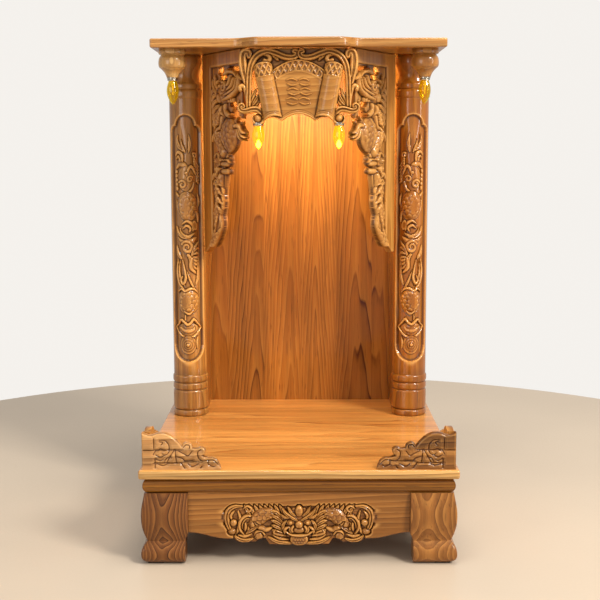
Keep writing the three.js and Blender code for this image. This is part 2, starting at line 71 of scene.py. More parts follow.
# %% Camera
EYE, LENS, FILM = (0.0085, -1.785, 0.6125), 64.26, 36.0
YAW, PITCH, ROLL = 0.0040, -0.1345, -0.0026
scene = bpy.context.scene
lens_data = bpy.data.cameras.new("view")
lens_data.lens, lens_data.sensor_width = LENS, FILM
view = bpy.data.objects.new("view", lens_data)
turn = Matrix.Rotation(YAW, 4, "Z") @ Matrix.Rotation(math.pi / 2 + PITCH, 4, "X")
view.matrix_world = Matrix.Translation(EYE) @ turn @ Matrix.Rotation(ROLL, 4, "Z")
scene.collection.objects.link(view)
scene.camera = view
scene.view_settings.view_transform = "Standard"
print("camera at", tuple(round(c, 3) for c in view.location))


# %% Lamps
def area_lamp(name, place, target, size, power, colour):
    """A rectangle of light at place, turned to face target."""
    data = bpy.data.lights.new(name, "AREA")
    data.shape = "RECTANGLE"
    data.size, data.size_y = size
    data.energy, data.color = power, colour
    lamp = bpy.data.objects.new(name, data)
    aim = (Vector(target) - Vector(place)).to_track_quat("-Z", "Y")
    lamp.matrix_world = Matrix.Translation(place) @ aim.to_matrix().to_4x4()
    scene.collection.objects.link(lamp)
    return lamp


for lamp_row in (("key", (2.5, -2.35, 3.0), (0, 0, 0.42), (1.0, 1.2), 190, (1.0, 0.95, 0.88)),
                 ("fill", (-1.7, -2.3, 1.0), (0, 0, 0.35), (1.2, 1.2), 14, (1.0, 0.97, 0.93)),
                 ("top", (0.1, -0.40, 2.5), (0, -0.25, 0.2), (1.2, 0.6), 30, (1.0, 0.96, 0.90)),
                 ("edge", (1.6, -0.75, 0.95), (0, 0, 0.65), (0.12, 1.1), 5, (1.0, 1.0, 1.0))):
    area_lamp(*lamp_row)

# %% Air and floor
# The air lights the altar softly, and where it is seen directly it is a bright, plain backdrop.
world = bpy.data.worlds.new("air")
world.use_nodes = True
tree = world.node_tree
soft = tree.nodes["Background"]
backdrop = tree.nodes.new("ShaderNodeBackground")
for shader, colour, strength in ((soft, (0.95, 0.93, 0.90, 1), 0.60),
                                 (backdrop, (0.93, 0.90, 0.86, 1), 0.98)):
    shader.inputs["Color"].default_value = colour
    shader.inputs["Strength"].default_value = strength
either = tree.nodes.new("ShaderNodeMixShader")
seen = tree.nodes.new("ShaderNodeLightPath").outputs["Is Camera Ray"]
for index, output in enumerate((seen, soft.outputs[0], backdrop.outputs[0])):
    tree.links.new(output, either.inputs[index])
tree.links.new(either.outputs[0], tree.nodes["World Output"].inputs["Surface"])
scene.world = world


def floor_disc(radius=1.15, rings=24, spokes=96, drop=0.0002):
    """A flat disc, worked out as rings of points, a hair under the feet."""
    r = np.linspace(0.02, radius, rings)[:, None]
    a = np.linspace(0, 2 * math.pi, spokes, endpoint=False)[None, :]
    points = np.stack([r * np.cos(a), r * np.sin(a), np.full((rings, spokes), -drop)], -1)
    i, j = np.meshgrid(np.arange(rings - 1), np.arange(spokes), indexing="ij")
    k = (j + 1) % spokes
    quads = np.stack([i * spokes + j, (i + 1) * spokes + j, (i + 1) * spokes + k, i * spokes + k], -1)
    mesh = bpy.data.meshes.new("floor")
    faces = quads.reshape(-1, 4).tolist() + [list(range(spokes))]
    mesh.from_pydata(points.reshape(-1, 3).tolist(), [], faces)
    disc = bpy.data.objects.new("floor", mesh)
    scene.collection.objects.link(disc)
    return disc


floor = floor_disc()
print("floor faces:", len(floor.data.polygons))

# %% [markdown]
# ## Finishes
# The altar is one species of wood, a golden brown timber with strong growth rings, under clear
# lacquer. Real grain is a solid pattern: rings round the heart of the tree, cut by the surface of
# the board. So the wood here is worked out in three dimensions. The distance from a wandering heart
# line is divided by the ring spacing, and the remainder of each ring runs from pale early wood to
# a dark late line. Every surface of a piece, flat or carved, then shows the right figure: straight
# lines where it is cut along the rings, arches where it is cut across them.


# %% Node helpers
class Finish:
    """Builds a material's nodes in order, with short calls."""

    def __init__(self, name):
        self.material = bpy.data.materials.new(name)
        self.material.use_nodes = True
        self.tree = self.material.node_tree
        self.shader = self.tree.nodes["Principled BSDF"]

    def node(self, kind, settings=(), **sockets):
        made = self.tree.nodes.new(kind)
        for key, value in dict(settings).items():
            setattr(made, key, value)
        for key, value in sockets.items():
            self.put(made.inputs[key.replace("_", " ")], value)
        return made

    def put(self, socket, value):
        if isinstance(value, bpy.types.NodeSocket):
            self.tree.links.new(value, socket)
        else:
            socket.default_value = value

    def operate(self, kind, operation, values):
        made = self.node(kind, {"operation": operation})
        for socket, value in zip(made.inputs, values):
            self.put(socket, value)
        return made

    def maths(self, operation, *values):
        return self.operate("ShaderNodeMath", operation, values).outputs[0]

    def vector(self, operation, *values):
        made = self.operate("ShaderNodeVectorMath", operation, values)
        return made.outputs["Value" if operation == "LENGTH" else "Vector"]

    def part(self, vector, axis):
        return self.node("ShaderNodeSeparateXYZ", Vector=vector).outputs[axis]

    def noise(self, place, scale, detail=2.0, rough=0.5, output="Fac"):
        return self.node("ShaderNodeTexNoise", Vector=place, Scale=scale, Detail=detail,
                         Roughness=rough).outputs[output]

    def ramp(self, value, stops):
        made = self.node("ShaderNodeValToRGB", Fac=value)
        while len(made.color_ramp.elements) < len(stops):
            made.color_ramp.elements.new(0.5)
        for element, (at, colour) in zip(made.color_ramp.elements, stops):
            element.position = at
            element.color = (*colour, 1)
        return made.outputs["Color"]

    def mix(self, fac, a, b, blend="MIX"):
        made = self.node("ShaderNodeMix", {"data_type": "RGBA", "blend_type": blend})
        for index, value in ((0, fac), (6, a), (7, b)):
            self.put(made.inputs[index], value)
        return made.outputs[2]

    def shade(self, colour, by):
        return self.mix(1.0, colour, by, "MULTIPLY")

    def remap(self, value, low, high, to_low=0.0, to_high=1.0):
        made = self.node("ShaderNodeMapRange", Value=value)
        for socket, number in zip(made.inputs[1:5], (low, high, to_low, to_high)):
            socket.default_value = number
        return made.outputs[0]


def grey(level):
    return (level, level, level)


def linear(colour):
    """Display colours 0-255 as linear light, by the usual power curve with its straight foot."""
    c = np.array(colour, float) / 255
    return tuple(np.where(c <= 0.04045, c / 12.92, ((c + 0.055) / 1.055) ** 2.4).tolist())


def solid(colour):
    return (*linear(colour), 1)


# %% Boards and rings
TURN = {"z": (0, 0, 0), "x": (0, math.pi / 2, 0), "y": (math.pi / 2, 0, 0)}
# colours of the painted shade in carved hollows and of the painted highlight on the high places
HOLLOW_SHADE, CROWN_HIGHLIGHT = (62, 28, 10), (242, 178, 96)


def wood_places(f, where, along, heart, boards):
    """Points of the log that each point of the piece is cut from, and each glued board's chance."""
    own, chance = where, None
    if boards:
        axis, width = boards
        index = f.maths("FLOOR", f.maths("DIVIDE", f.part(where, axis), width))
        chance = f.node("ShaderNodeTexWhiteNoise", {"noise_dimensions": "1D"}, W=index).outputs["Color"]
        centred = f.vector("SUBTRACT", chance, (0.5, 0.5, 0.5))
        shift = f.vector("MULTIPLY", centred, (0.05, 0.07, 0.9))
        middle = f.maths("MULTIPLY", f.maths("ADD", index, 0.5), width)
        offset = f.node("ShaderNodeCombineXYZ", **{axis: middle}).outputs[0]
        own = f.vector("SUBTRACT", where, offset)
    turned = f.node("ShaderNodeMapping", Vector=own, Rotation=TURN[along]).outputs["Vector"]
    place = f.vector("ADD", turned, heart)
    return (f.vector("ADD", place, shift) if boards else place), chance


def ring_remainder(f, place, grain, ring, cone, wander):
    """frac(distance from the heart line / ring), 0 at the early wood and 1 at the late line."""
    slow = f.noise(f.vector("MULTIPLY", place, (1, 1, 0.16)), 9.0, 3.0, 0.45, "Color")
    sway = (wander * 4, wander * 4, 0)
    bend = f.vector("MULTIPLY", f.vector("SUBTRACT", slow, (0.5, 0.5, 0.5)), sway)
    bent = f.vector("ADD", place, bend)
    across = f.vector("LENGTH", f.vector("MULTIPLY", bent, (1, 1, 0)))
    radius = f.maths("ADD", across, f.maths("MULTIPLY", f.part(bent, "Z"), cone))
    uneven = f.maths("MULTIPLY", grain(0.06, 30.0, 2.0), 3.0)
    return f.maths("FRACT", f.maths("ADD", f.maths("DIVIDE", radius, ring), uneven))


# %% The wood
def wood(name, along, heart, ring, tones, cone=0.05, wander=0.010, boards=None, hollow_shade=0.0,
         gloss=0.5, line=1.0, streak=0.5, crown_highlight=0.42, sides=None):
    """Wood with its grain along one axis.

    The heart line wanders by a stretched noise, and the tree narrows by cone per metre of height.
    boards = (axis, width) shifts the heart at random from one glued board to the next. hollow_shade is
    painted shade that darkens the hollows that the mesh marks in its relief attribute, and
    crown_highlight is a painted highlight that pales the high places. streak is how far long bands
    drift darker and paler. sides = (start, end, shade) is painted shade that darkens the wood from one
    distance off the middle to another."""
    f = Finish(name)
    pale, mid, dark = tones
    where = f.node("ShaderNodeTexCoord").outputs["Object"]
    place, chance = wood_places(f, where, along, heart, boards)

    def grain(stretch, scale, detail, rough=0.5):
        return f.noise(f.vector("MULTIPLY", place, (1, 1, stretch)), scale, detail, rough)

    late = ring_remainder(f, place, grain, ring, cone, wander)
    early = [(0.0, linear(pale)), (0.5, linear(mid)), (0.92, linear(mid)), (1.0, linear(pale))]
    edge = f.ramp(late, [(0.55, grey(0)), (0.80, grey(0.25)), (0.93, grey(1)), (1.0, grey(0))])
    fade = f.remap(grain(0.07, 33.0, 2.0), 0.38, 0.62, 0.12, 1.0)
    drawn = f.maths("MULTIPLY", f.maths("MULTIPLY", edge, fade), line)
    body = f.mix(drawn, f.ramp(late, early), solid(dark))
    # slow patches of redder and yellower heartwood, then long bands
    low, high = 1 - 0.36 * streak, 1 + 0.22 * streak
    patch = [(0.35, (low, low * 0.95, low * 0.88)), (0.65, (high, high, high))]
    body = f.shade(body, f.ramp(grain(0.12, 14.0, 2.0), patch))
    bands = [(0.36, grey(1 - 0.42 * streak)), (0.56, grey(1.04))]
    body = f.shade(body, f.ramp(grain(0.03, 75.0, 3.0, 0.6), bands))
    if boards:
        tone = f.node("ShaderNodeSeparateColor", Color=chance).outputs["Blue"]
        body = f.shade(body, f.remap(tone, 0.0, 1.0, 0.86, 1.08))
    # painted shade: the wood darkens from one distance off the middle to another
    if sides:
        start, end, shade = sides
        body = f.shade(body, f.remap(f.maths("ABSOLUTE", f.part(where, "X")), start, end, 1.0, shade))
    # fine fibres and short dark pores, both drawn out along the grain
    fibre = grain(0.02, 900.0, 2.0, 0.6)
    body = f.shade(body, f.ramp(fibre, [(0.3, grey(0.86)), (0.7, grey(1.08))]))
    pores = f.remap(grain(0.05, 620.0, 1.0, 0.4), 0.66, 0.74)
    body = f.mix(f.maths("MULTIPLY", pores, 0.45), body, solid(np.array(dark) * 0.7))
    # painted shade darkens the carved hollows, and a painted highlight pales the high places
    if hollow_shade:
        mark = f.node("ShaderNodeAttribute", {"attribute_name": "relief"}).outputs["Fac"]
        hollow, crown = f.remap(mark, -0.02, -0.75), f.remap(mark, 0.05, 0.8)
        body = f.mix(f.maths("MULTIPLY", hollow, hollow_shade), body, solid(HOLLOW_SHADE))
        body = f.mix(f.maths("MULTIPLY", crown, crown_highlight), body, solid(CROWN_HIGHLIGHT))
    lacquer(f, where, gloss, body, late, pores, fibre)
    return f.material


def lacquer(f, where, gloss, body, late, pores, fibre):
    """The wood's colour and faint relief under a clear coat that has its own slow waves."""
    shader = f.shader
    f.put(shader.inputs["Base Color"], body)
    f.put(shader.inputs["Roughness"], f.ramp(late, [(0.0, grey(0.46)), (0.9, grey(0.36))]))
    for key, value in (("Specular IOR Level", 0.12), ("Coat Weight", gloss),
                       ("Coat Roughness", 0.10), ("Coat IOR", 1.5)):
        shader.inputs[key].default_value = value
    sunk = f.maths("ADD", f.maths("MULTIPLY", late, -0.35), f.maths("MULTIPLY", pores, -0.8))
    height = f.maths("ADD", sunk, f.maths("MULTIPLY", fibre, 0.5))
    waves = f.noise(where, 55.0, 1.0)
    for socket, strength, distance, source in (("Normal", 0.25, 0.0004, height),
                                               ("Coat Normal", 0.12, 0.0012, waves)):
        bump = f.node("ShaderNodeBump", Strength=strength, Distance=distance, Height=source)
        f.put(shader.inputs[socket], bump.outputs["Normal"])


# %% The woods of the altar
# Each tone is the early wood, the wood between and the late line.
GOLD = ((208, 148, 76), (200, 136, 66), (150, 84, 30))
HONEY = ((176, 112, 43), (163, 98, 34), (82, 37, 11))
OAK = ((194, 138, 68), (176, 118, 52), (96, 50, 18))
AMBER = ((184, 116, 36), (166, 97, 25), (86, 40, 10))
# a darker tone for the left bracket: painted shade
SHADED_RUSSET = ((180, 112, 40), (162, 96, 31), (86, 40, 11))
TAN = ((166, 112, 54), (144, 92, 40), (76, 38, 14))
BROWN = ((142, 91, 43), (108, 63, 26), (44, 21, 8))
HAZEL = ((164, 110, 52), (134, 84, 36), (62, 30, 11))
UMBER = ((148, 96, 28), (126, 77, 19), (66, 34, 9))
CREAM = ((214, 157, 88), (198, 137, 70), (126, 76, 32))
SAND = ((202, 153, 97), (186, 133, 78), (108, 66, 28))
STRAW = ((226, 180, 112), (206, 156, 88), (120, 76, 34))

deck_wood = wood("deck lacquered wood", "x", (0.0, 0.02, -0.118), 0.0070, GOLD, cone=0.02,
                 wander=0.007, boards=("Y", 0.083), gloss=0.8, line=0.9, streak=0.33)
# The niche panel gets painted shade towards its outer sides, away from the glow in the middle.
panel_wood = wood("niche panel wood", "z", (0.0, -0.205, 0.0), 0.0058, HONEY, wander=0.009,
                  boards=("X", 0.0683), gloss=0.35, streak=0.55, sides=(0.045, 0.125, 0.80))
wall_wood = wood("side wall wood", "z", (0.14, 0.0, 0.0), 0.012, HONEY, cone=0.02, wander=0.006)
strip_wood = wood("base strip wood", "x", (0.0, 0.20, -0.10), 0.0065, UMBER, cone=0.02,
                  wander=0.005, line=0.6)
side_wood = wood("side board wood", "y", (-0.17, 0.0, -0.06), 0.008, OAK, cone=0.015,
                 wander=0.005, line=0.7)
edge_wood = wood("deck edge wood", "x", (0.0, 0.19, -0.12), 0.005, STRAW, cone=0.01,
                 wander=0.006, gloss=0.8, streak=1.0)
roof_edge_wood = wood("roof edge wood", "x", (0.0, 0.05, -0.775), 0.0075, CREAM, cone=0.03,
                      gloss=0.8, streak=0.8)
apron_wood = wood("apron wood", "x", (0.0, 0.17, -0.02), 0.007, TAN, cone=0.015, wander=0.005,
                  hollow_shade=0.78, line=0.6)
leg_woods = {
    "left": wood("left leg wood", "z", (0.203, 0.219, 0.0), 0.0042, BROWN, cone=0.004, wander=0.003),
    "right": wood("right leg wood", "z", (-0.198, 0.192, 0.0), 0.0052, HAZEL, cone=0.02,
                  wander=0.006, line=0.9)}
column_woods = {
    "left": wood("left column wood", "z", (0.178, -0.075, 0.0), 0.014, OAK, wander=0.008,
                 hollow_shade=0.7, gloss=0.9, line=0.5, crown_highlight=0.62),
    "right": wood("right column wood", "z", (-0.176, -0.075, 0.0), 0.014, AMBER, wander=0.008,
                  hollow_shade=0.65, gloss=0.9, line=0.5, crown_highlight=0.5)}
# The left bracket's wood is darker than the right one's: painted shade on the bracket that faces away
# from the key lamp.
bracket_woods = {
    "left": wood("left bracket wood", "z", (0.0, 0.09, 0.0), 0.024, SHADED_RUSSET, hollow_shade=0.85, line=0.3),
    "right": wood("right bracket wood", "z", (0.0, 0.09, 0.0), 0.024, OAK, hollow_shade=0.8, line=0.3)}
crest_wood = wood("carved crest wood", "x", (0.0, 0.06, -0.66), 0.014, OAK, hollow_shade=0.68, line=0.35)
rail_woods = {
    "left": wood("left rail wood", "x", (0.0, 0.2, -0.135), 0.011, SAND, cone=0.02, hollow_shade=0.8,
                 line=0.9, streak=0.8),
    "right": wood("right rail wood", "x", (0.0, 0.2, -0.135), 0.011, TAN, cone=0.02, hollow_shade=0.85,
                  streak=1.0)}
rail_wood_side = wood("side rail wood", "y", (0.2, 0.0, -0.135), 0.011, OAK, cone=0.02,
                      hollow_shade=0.85, line=0.7)
roof_wood = wood("roof wood", "x", (0.0, 0.07, -0.745), 0.011, OAK, cone=0.03, wander=0.012,
                 line=0.6)
# The left pendant's wood is paler than the right one's: painted light that makes up for the key lamp's
# shadow on it.
pendant_woods = {
    "left": wood("left pendant wood", "z", (0.21, -0.03, 0.0), 0.014, STRAW, cone=0.15, gloss=0.9,
                 line=0.5),
    "right": wood("right pendant wood", "z", (-0.21, -0.03, 0.0), 0.014, OAK, cone=0.15,
                  gloss=0.9, line=0.5)}
print("woods:", sum(m.name.endswith("wood") for m in bpy.data.materials))


# %% Metal, glass, rubber and the floor
def plain_finish(name, colour, rough, **sockets):
    """A finish whose grain is a faint cloud over one colour."""
    f = Finish(name)
    where = f.node("ShaderNodeTexCoord").outputs["Object"]
    low, high = (linear(np.clip(np.array(colour) * k, 0, 255)) for k in (0.985, 1.01))
    f.put(f.shader.inputs["Base Color"], f.ramp(f.noise(where, 3.0, 3.0), [(0.3, low), (0.7, high)]))
    fine = f.noise(where, 260.0, 2.0)
    f.put(f.shader.inputs["Roughness"], f.remap(fine, 0.3, 0.7, rough * 0.85, rough * 1.15))
    for key, value in sockets.items():
        f.shader.inputs[key.replace("_", " ")].default_value = value
    return f.material


def plain_values(name, colour, glow, **sockets):
    """A finish of plain values on the shader, so that clear glass stays see-through anywhere."""
    f = Finish(name)
    values = {"Base Color": solid(colour), "Emission Color": solid(colour), "Emission Strength": glow}
    values.update((key.replace("_", " "), value) for key, value in sockets.items())
    for key, value in values.items():
        f.shader.inputs[key].default_value = value
    return f.material


GLASS = {"Roughness": 0.03, "IOR": 1.45, "Transmission_Weight": 1.0}
silver = plain_finish("polished collar", (196, 190, 178), 0.18, Metallic=1.0)
rubber = plain_finish("foot rubber", (40, 32, 28), 0.8)
floor_paint = plain_finish("floor", (190, 174, 154), 0.35, Specular_IOR_Level=0.25)
floor.data.materials.append(floor_paint)
# The unlit glass and the stems in every lamp have a faint painted glow, though no light is in them.
clear_glass = plain_values("clear yellow glass", (244, 216, 30), 0.05, **GLASS)
lit_glass = plain_values("lit yellow glass", (244, 222, 50), 0.14, **GLASS)
lit_core = plain_values("lit lamp core", (255, 244, 214), 12.0)
glowing_stem = plain_values("unlit lamp core", (250, 220, 90), 0.25)
print("finishes in all:", len(bpy.data.materials))

# %% [markdown]
# ## Making surfaces
# Every new piece is a closed skin of points worked out as arrays. A ring of points carried along a path
# makes boards, strips, legs and turned parts. These helpers put the arrays in a mesh, check that its
# faces point outwards, and hide the solid that the piece stands for.


# %% Skins
def skin(name, points, faces, finish, slot, stands_for=(), relief=None, crease=38, front=None):
    """A mesh piece from points in millimetres and lists of corner numbers. front is a second finish
    for the faces that look forwards, such as the sawn edge of a board.

    If six times the volume, the sum of a . (b x c) over the triangles, is negative, the skin is
    inside out and is turned."""
    mesh = bpy.data.meshes.new(name)
    mesh.from_pydata((np.asarray(points, float) * MM).tolist(), [], faces)
    mesh.calc_loop_triangles()
    corner = np.empty(len(mesh.loop_triangles) * 3, np.int32)
    mesh.loop_triangles.foreach_get("vertices", corner)
    a, b, c = np.moveaxis(np.asarray(points, float)[corner.reshape(-1, 3)], 1, 0)
    if np.einsum("ij,ij->i", a, np.cross(b, c)).sum() < 0:
        mesh.flip_normals()
    if relief is not None:
        marks = mesh.attributes.new("relief", "FLOAT", "POINT").data
        marks.foreach_set("value", np.asarray(relief, np.float32))
    mesh.shade_smooth()
    mesh.set_sharp_from_angle(angle=math.radians(crease))
    mesh.materials.append(finish)
    if front:
        mesh.materials.append(front)
        facing = np.empty(len(mesh.polygons) * 3, np.float32)
        mesh.polygons.foreach_get("normal", facing)
        forward = (facing.reshape(-1, 3)[:, 1] < -0.8).astype(np.int32)
        mesh.polygons.foreach_set("material_index", forward)
    piece = bpy.data.objects.new(name, mesh)
    scene.collection.objects.link(piece)
    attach(piece, "root")
    if stands_for:
        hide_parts(*stands_for)
    return piece


def dress(node, finish):
    """Give a solid that stays in sight its finish."""
    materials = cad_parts[node].data.materials
    materials.clear()
    materials.append(finish)


def loft(rings, shell=False):
    """Points and faces of rings of equal length, joined in order. A shell's last ring joins its
    first; otherwise both ends are closed by a face."""
    rings = np.asarray(rings, float)
    count, around = rings.shape[:2]
    i, j = np.meshgrid(np.arange(count if shell else count - 1), np.arange(around), indexing="ij")
    k, n = (j + 1) % around, (i + 1) % count
    quads = np.stack([i * around + j, i * around + k, n * around + k, n * around + j], -1)
    first, last = list(range(around))[::-1], list(range((count - 1) * around, count * around))
    return rings.reshape(-1, 3), quads.reshape(-1, 4).tolist() + ([] if shell else [first, last])


def turned(profile, x, y, spokes=72):
    """Rings for a turned part: each (radius, height) pair swept round the upright line at x, y."""
    r, z = np.asarray(profile, float).T
    a = np.linspace(0, 2 * math.pi, spokes, endpoint=False)
    ring = np.stack([np.cos(a), np.sin(a)], -1)
    flat = r[:, None, None] * ring[None] + np.array([x, y])
    return np.concatenate([flat, np.broadcast_to(z[:, None, None], flat.shape[:2] + (1,))], -1)


def curve(points, per=8):
    """A Catmull-Rom line through the points: each span blends its four nearest points by cubics."""
    p = np.asarray(points, float)
    p = np.concatenate([2 * p[:1] - p[1:2], p, 2 * p[-1:] - p[-2:-1]])
    t = np.linspace(0, 1, per, endpoint=False)[None, :, None]
    a, b, c, d = (p[i:len(p) - 3 + i, None] for i in range(4))
    spans = 0.5 * (2 * b + (c - a) * t + (2 * a - 5 * b + 4 * c - d) * t ** 2
                   + (3 * b - a - 3 * c + d) * t ** 3)
    return np.concatenate([spans.reshape(-1, p.shape[1]), p[-2:-1]])


def board(x, front, back, low, high, ease, steps=5, inner=24, margin=2):
    """Rings of a level board carried along X: its section is a rectangle with quarter-circle corners,
    and the first and last rings shrink by the same quarter circle, so that every rim is eased."""
    a = np.linspace(0, math.pi / 2, steps)
    ends = ease * (1 - np.sin(a))
    x = np.concatenate([x[0] + ease - ease * np.cos(a), x[(x > x[0] + ease) & (x < x[-1] - ease)],
                        (x[-1] - ease + ease * np.cos(a))[::-1]])
    inset = np.concatenate([ends, np.zeros(len(x) - 2 * steps), ends[::-1]])
    rings = []
    for place, pull in zip(x, inset):
        y0, y1, z0, z1 = front(place) + pull, back - pull, low + pull, high - pull
        r = max(ease - pull, 0.05)
        corners = [(y0 + r, z0 + r, math.pi), (y1 - r, z0 + r, 1.5 * math.pi), (y1 - r, z1 - r, 0.0),
                   (y0 + r, z1 - r, 0.5 * math.pi)]
        across = np.linspace(y0 + r + margin, y1 - r - margin, inner)
        arcs = [[(cy + r * math.cos(t + start), cz + r * math.sin(t + start)) for t in a]
                for cy, cz, start in corners]
        section = [*arcs[0], *[(y, z0) for y in across], *arcs[1], *arcs[2],
                   *[(y, z1) for y in across[::-1]], *arcs[3]]
        rings.append([(place, y, z) for y, z in section])
    return rings


def smooth(x, low, high):
    """0 below low, 1 above high, and the cubic 3t^2 - 2t^3 between."""
    t = np.clip((np.asarray(x, float) - low) / (high - low), 0, 1)
    return t * t * (3 - 2 * t)


def ridge(x, at, wide):
    """A bell, exp(-((x - at) / wide)^2): 1 at the place and nearly 0 two widths away."""
    return np.exp(-((x - at) / wide) ** 2)


def eased(inside, drop, reach):
    """How far a rim is rounded down: drop (1 - inside / reach)^2, and nothing beyond reach."""
    return drop * (1 - np.clip(inside / reach, 0, 1)) ** 2


print("curve through 3 points:", curve([(0, 0), (1, 1), (2, 0)]).shape)

# %% [markdown]
# ## Deck, base strips and roof
# The deck and the roof are boards with eased edges. The roof's front edge bows out in the middle
# over the crest. Under the deck run four half-round strips, mitred at the corners. A sharp edge
# would catch no light, so each rim is a small quarter circle.

# %% Boards
ROOF_HALF, ROOF_FRONT, ROOF_BOW = 239.0, -30.0, 23.0
DECK_EASE, ROOF_EASE = 3.2, 2.6
STRIP_OUT, STRIP_IN, STRIP_ROUND = 234.6, 180.0, 9


def roof_front(x):
    """The roof's front edge: straight, with a bow forward in the middle that eases in at its ends."""
    return ROOF_FRONT - ROOF_BOW * (1 - float(smooth(abs(x), 62, 106)))


deck = board(np.linspace(-HALF, HALF, 49), lambda x: -HALF, HALF, BASE_TOP, DECK_TOP, DECK_EASE)
skin("deck", *loft(deck), deck_wood, "deck_wood", ["deck_board"], front=edge_wood)
roof = board(np.linspace(-ROOF_HALF, ROOF_HALF, 120), roof_front, HALF, ROOF_UNDER, ROOF_TOP, ROOF_EASE)
skin("roof", *loft(roof), roof_wood, "deck_wood", ["roof_board"], front=roof_edge_wood)


def base_strip(quarter):
    """A half-round section swept between two mitres: each end lies at 45 degrees, x = y - gap."""
    a = np.linspace(-math.pi / 2, math.pi / 2, 20)
    reach = STRIP_OUT - STRIP_ROUND + STRIP_ROUND * np.cos(a)
    height = (LEG_TOP + BASE_TOP) / 2 + (BASE_TOP - LEG_TOP) / 2 * np.sin(a)
    reach = np.concatenate([[STRIP_IN], reach, [STRIP_IN]])
    height = np.concatenate([[LEG_TOP], height, [BASE_TOP]])
    c, s = QUARTERS[quarter]
    return loft([np.column_stack([c * e * (reach - GAP) + s * reach,
                                  s * e * (reach - GAP) - c * reach, height])
                 for e in np.linspace(-1, 1, 9)])


for quarter, side in enumerate(("front", "right", "back", "left")):
    finish = strip_wood if quarter % 2 == 0 else side_wood
    skin(f"strip_{side}", *base_strip(quarter), finish, "frame_wood", [f"base_strip_{side}"])
print("boards: deck, roof and 4 strips")

# %% [markdown]
# ## Bracket feet
# Each foot is two thick boards joined along the corner, so its plan is an L. Its outer faces swell
# in a belly, pinch to a V-shaped neck and swell again in the foot. The outline is carried up the
# height as a loft: at each height the plan is the same L, with the swell added to its outer sides.

# %% Feet
NECK = 35.0
FOOT_LINE = [(231, 2), (236.8, 7), (238.6, 15), (236.6, 25), (230, NECK)]
BELLY_LINE = [(230, NECK), (234.6, 49), (237.4, 64), (237.4, 84), (232.7, LEG_TOP)]


def swell(z):
    """Half width of the leg's outer face: two rounded bulges that meet in a sharp neck."""
    line = np.concatenate([curve(FOOT_LINE, 6)[:-1], curve(BELLY_LINE, 6)])
    return np.interp(z, line[:, 1], line[:, 0])


def bracket_foot(sx, sy, thick=205.0, edge=3.5, bevel=1.2):
    """Rings of the L-shaped plan from the pad to the base strips, mirrored by sx and sy."""
    z = np.concatenate([np.linspace(2, NECK - 0.6, 24), np.linspace(NECK, LEG_TOP, 40)])
    ease = np.linspace(0, math.pi / 2, 5)
    rings = []
    for height, out in zip(z, swell(z)):
        inner = LEG_INNER + 4.6 * (1 - smooth(height, 36, 48))
        corner = [(out - edge + edge * math.sin(t), out - edge + edge * math.cos(t)) for t in ease]
        lip = [(inner, out - bevel), (inner + bevel, out)]
        far = [(out, inner + bevel), (out - bevel, inner)]
        along = [(x, out) for x in np.linspace(inner + 8, out - edge - 4, 5)]
        down = [(out, y) for y in np.linspace(out - edge - 4, inner + 8, 5)]
        plan = [(thick, thick), (inner, thick), *lip, *along, *corner, *down, *far, (thick, inner)]
        rings.append([(sx * x, sy * y, height) for x, y in plan])
    return loft(rings)


for sy, end in ((-1, "front"), (1, "back")):
    for sx, side in SIDES:
        skin(f"foot_{end}_{side}", *bracket_foot(sx, sy), leg_woods[side], "frame_wood",
             [f"leg_{end}_{side}"], crease=30)
        dress(f"foot_pad_{end}_{side}", rubber)
print("feet: 4, neck half width", round(float(swell(NECK)), 1))

# %% [markdown]
# ## Niche walls
# The back panel and the two side walls of the niche are flat boards, and the solids already have
# that shape, so they stay and only take their finishes.

# %% Walls
dress("back_panel", panel_wood)
for _, side in SIDES:
    dress(f"side_wall_{side}", wall_wood)

# %% [markdown]
# ## A way of carving
# A relief carver draws forms on a flat or round ground, then rounds each form and cuts a groove round
# it so that it stands clear of what lies under it. The class below does the same with an array of
# heights over a grid of points. Forms are laid one over another: a stroke along a curved line, a dome,
# a spiral. Where a form covers a point it sets the height there, and just outside its edge it cuts a
# groove. A last pass compares each height with the mean of its neighbourhood, which tells the wood
# finish where the hollows and the high places are, so that it paints shade into the hollows and a
# highlight on the high places.


# %% Shapes of forms
def nearest(u, v, path):
    """Distance from each point to a bent line, how far along it as a share, the signed distance,
    and how far along it in mm."""
    a, step = path[:-1], np.diff(path, axis=0)
    length = np.maximum(np.hypot(step[:, 0], step[:, 1]), 1e-9)
    before = np.concatenate([[0], np.cumsum(length)[:-1]])
    du, dv = u[:, None] - a[:, 0], v[:, None] - a[:, 1]
    t = np.clip((du * step[:, 0] + dv * step[:, 1]) / length ** 2, 0, 1)
    away = np.hypot(du - t * step[:, 0], dv - t * step[:, 1])
    best = away.argmin(1)
    row = np.arange(len(u))
    d, run = away[row, best], before[best] + t[row, best] * length[best]
    side = np.sign(step[best, 0] * dv[row, best] - step[best, 1] * du[row, best])
    return d, run / length.sum(), d * side, run


def scales(run, across, size):
    """Overlapping scales, 0 to 1: in rows three quarters of a scale apart lie ovals, every other row
    shifted by half. Each rises towards its rim, and the rims lie over the roots of the next row."""
    out = np.zeros_like(run)
    first = np.floor(run / (size * 0.75))
    for step in (1, 0, -1):
        row = first + step
        ahead = run - row * size * 0.75
        shifted = across / size + 0.5 * (row % 2)
        near = np.hypot(ahead * 0.66, (shifted - np.round(shifted)) * size) / (size * 0.57)
        rise = 0.5 + 0.5 * np.clip(ahead / (size * 0.75), -1, 1)
        out = np.where(near < 1, rise * np.sqrt(np.clip(1 - near ** 8, 0, 1)), out)
    return out


